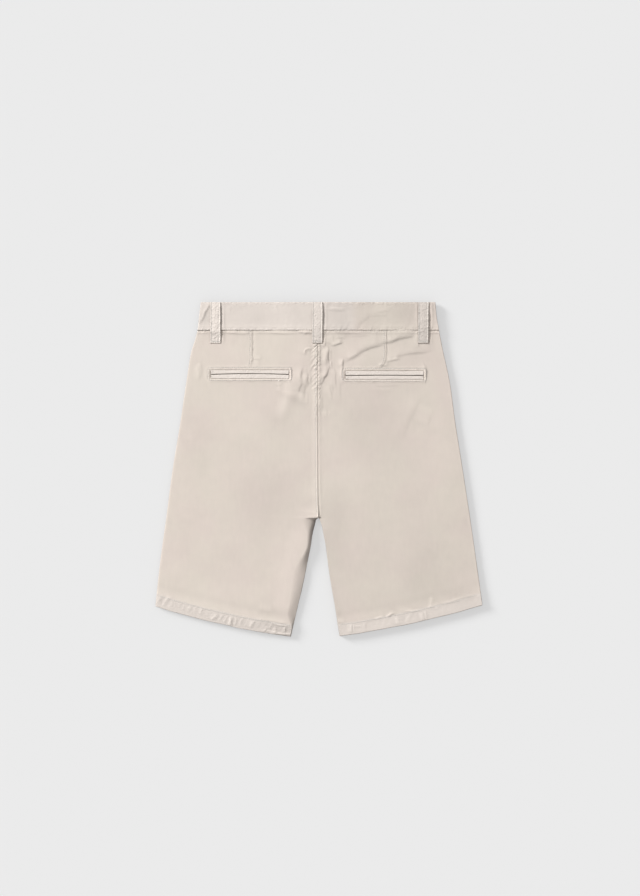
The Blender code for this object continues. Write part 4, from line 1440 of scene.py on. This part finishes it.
def twill_material():
    """Washed cotton twill: fine steep ribs, faint mottling, rubbed ridges, and painted light and shade.
    """
    look = Look("twill", TWILL, 0.92)
    look.inputs["Specular IOR Level"].default_value = 0.18
    look.inputs["Sheen Weight"].default_value = 0.12
    look.inputs["Sheen Roughness"].default_value = 0.6

    # Ribs run up to the right over the cloth, crossed by the finer weft.
    parts = look.node("ShaderNodeSeparateXYZ")
    look.feed(parts.inputs[0], look.place)
    turn = np.radians(TWILL_ANGLE)
    rightwards = look.math("MULTIPLY", parts.outputs[0], float(np.sin(turn)))
    wobble = look.math("SUBTRACT", look.noise(400.0, 1.0), 0.5)
    across = look.total(rightwards, (parts.outputs[1], -float(np.cos(turn))), (wobble, 0.0002))
    rib = look.math("SINE", look.math("MULTIPLY", across, 2 * np.pi / RIB_PITCH))
    weft = look.math("SINE", look.math("MULTIPLY", parts.outputs[1], 2 * np.pi / WEFT_PITCH))
    weave = look.total(0.0, (rib, 0.5), (weft, 0.18), (look.noise(1600.0, 3.0), 0.8))

    # Stitches draw the cloth up in fine puckers.
    drawn = look.math("MULTIPLY", look.noise(PUCKER_SCALE, 1.0), look.attribute("sewn"))
    puckered = look.bump(1.0, PUCKER_DEPTH, drawn)
    look.feed(look.inputs["Normal"], look.bump(0.35, WEAVE_DEPTH, weave, puckered))

    # Colour: uneven dye, washed out in places, threads of slightly unlike shades, wear, and painted
    # light and shade.
    dye = look.node("ShaderNodeMix", data_type="RGBA")
    look.feed(dye.inputs["Factor"], look.attribute("washed"))
    look.feed(dye.inputs["A"], look.blotched(look.noise(PATCH_SCALE), TWILL_ROSY, TWILL_SANDY))
    dye.inputs["B"].default_value = (*WASHED, 1.0)
    stretched = look.node("ShaderNodeMapping")
    stretched.inputs["Scale"].default_value = (1.0, 0.25, 1.0)
    look.feed(stretched.inputs["Vector"], look.place)
    slub = look.noise(260.0, place=stretched.outputs["Vector"])
    # Wear, painted light and painted shade, from the mesh's layer.
    painted_light_and_wear = (look.attribute("wear"), WEAR_AND_PAINTED_LIGHT_SHADE)
    shade = look.total(0.94, (rib, 0.012), (look.noise(28.0, 4.0), 0.07), (slub, 0.05), painted_light_and_wear)
    look.shade_with(dye.outputs["Result"], shade)
    return look.material


def thread_material():
    """Twisted cotton thread, a touch lighter than the cloth, and painted shade on its ends in the holes.
    """
    look = Look("thread", THREAD, 0.85)
    grain = look.noise(2500.0)
    look.feed(look.inputs["Normal"], look.bump(0.4, GRAIN_DEPTH, grain))
    # The ends in the holes are darkened with painted shade.
    look.shade_with(THREAD, look.total(0.94, (grain, 0.12), (look.attribute("hole"), -HOLE_SHADE)))
    return look.material


def horn_material():
    """Mottled horn, polished, for the button."""
    look = Look("horn", HORN, 0.32)
    cloud = look.noise(190.0, 5.0, distortion=1.2)
    look.feed(look.inputs["Base Color"], look.blotched(cloud, HORN_DARK, HORN))
    return look.material


def floor_material():
    """Smooth pale card, without a gloss."""
    look = Look("floor", FLOOR, 0.9)
    look.inputs["Specular IOR Level"].default_value = 0.0
    return look.material


# ---------------------------------------------------------------- studio

def add_floor():
    mesh = bpy.data.meshes.new("floor")
    shape = bmesh.new()
    bmesh.ops.create_grid(shape, x_segments=1, y_segments=1, size=FLOOR_SIZE / 2)
    shape.to_mesh(mesh)
    shape.free()
    mesh.materials.append(floor_material())
    floor = bpy.data.objects.new("floor", mesh)
    floor.location.z = FLOOR_DEPTH
    bpy.context.scene.collection.objects.link(floor)
    return floor


def direction(azimuth, elevation):
    """Where a light lies, from degrees round from +X and over the surface."""
    azimuth = np.radians(azimuth)
    elevation = np.radians(elevation)
    level = np.cos(elevation)
    return Vector((np.cos(azimuth) * level, np.sin(azimuth) * level, np.sin(elevation)))


def add_light(name, kind, energy, location, receivers, **settings):
    """A light that only lights its receivers, and isn't thrown back from them. It is aimed at
    the middle, and whatever is in its way shades them."""
    data = bpy.data.lights.new(name, kind)
    data.energy = energy
    for key, value in settings.items():
        setattr(data, key, value)
    light = bpy.data.objects.new(name, data)
    light.location = location
    light.rotation_euler = (-location).to_track_quat("-Z", "Y").to_euler()
    bpy.context.scene.collection.objects.link(light)
    light.light_linking.receiver_collection = receivers
    data.cycles.max_bounces = 0


def add_lamp(name, share, toward, distance, size):
    """A round lamp for the cloth, which lights level cloth as bright as that share of white."""
    watts = share * np.pi / toward.z * np.pi * distance**2
    add_light(name, "AREA", watts, toward * distance, garment, shape="DISK", size=size)


def add_sun(name, share, toward, angle, receivers):
    """The same from a part of the sky, that many degrees wide."""
    energy = share * np.pi / toward.z
    add_light(name, "SUN", energy, toward * SUN_DISTANCE, receivers, angle=np.radians(angle))


def add_studio():
    """Floor, lights and camera. The key comes from the upper left and low, so that it models
    the cloth. The floor has a lower one of its own, for its shadow."""
    scene = bpy.context.scene
    scene.view_settings.view_transform = "Standard"
    world = bpy.data.worlds.new("studio")
    world.use_nodes = True
    background = world.node_tree.nodes["Background"].inputs
    background["Color"].default_value = (1.0, 1.0, 1.0, 1.0)
    background["Strength"].default_value = AMBIENT
    scene.world = world

    on_floor = bpy.data.collections.new("floor_lit")
    on_floor.objects.link(add_floor())
    overhead = Vector((0, 0, 1))
    add_lamp("key", KEY, direction(KEY_AZIMUTH, KEY_ELEVATION), KEY_DISTANCE, KEY_SIZE)
    add_sun("dome", DOME, overhead, DOME_ANGLE, garment)
    add_lamp("side", SIDE, direction(SIDE_AZIMUTH, SIDE_ELEVATION), SIDE_DISTANCE, SIDE_SIZE)
    low = direction(FLOOR_KEY_AZIMUTH, FLOOR_KEY_ELEVATION)
    add_sun("floor_key", FLOOR_KEY, low, FLOOR_KEY_ANGLE, on_floor)
    add_sun("floor_fill", FLOOR_FILL, overhead, FLOOR_FILL_ANGLE, on_floor)

    data = bpy.data.cameras.new("camera")
    data.lens = LENS
    camera = bpy.data.objects.new("camera", data)
    camera.location = CAMERA
    scene.collection.objects.link(camera)
    scene.camera = camera


# ---------------------------------------------------------------- the scene

garment = bpy.data.collections.new("garment")
bpy.context.scene.collection.children.link(garment)
twill = twill_material()
thread = thread_material()
horn = horn_material()

panels = add_panels()
bands = add_waistband()
backs = [panels["back_left"].piece, panels["back_right"].piece]
band = bands["waistband_back"].piece
on_panels = face_of(backs)
loops = add_loops(face_of([*backs, band]))
trims = add_welts(on_panels)
trims["band"] = list(loops)

on_loops = face_of([*backs, band, *loops])
under_front = face_of([panels["front_left"].piece, panels["front_right"].piece], side=-1)
seam = [seam_row(WAIST_SEAM - SEAM_END, 60)]
trims["left"].append(add_stitches("stitches_centre_back", seam, on_panels, LIGHT_HOLES))
for half in (LEFT, RIGHT):
    side = half.name
    for name, rows, holes in (
        ("pocket", [pocket_row(pocket) for pocket in of_side(POCKETS, side)], POCKET_HOLES),
        ("dart", [dart_row(dart) for dart in of_side(DARTS, side)], 1.0),
        ("hem_back", [hem_row(half)], HEM_HOLES),
    ):
        trims[side].append(add_stitches(f"stitches_{name}_{side}", rows, on_panels, holes))
for loop in BACK_LOOPS:
    stitches = add_stitches(f"stitches_loop_{loop.name}", loop_rows(loop.x), on_loops, LIGHT_HOLES)
    trims["band"].append(stitches)

for half in (LEFT, RIGHT):
    side = half.name
    sewn_on = add_stitches(f"stitches_front_{side}", front_rows(half), under_front, side=-1)

frame["nodes"]["button"].data.materials.clear()
frame["nodes"]["button"].data.materials.append(horn)
add_studio()
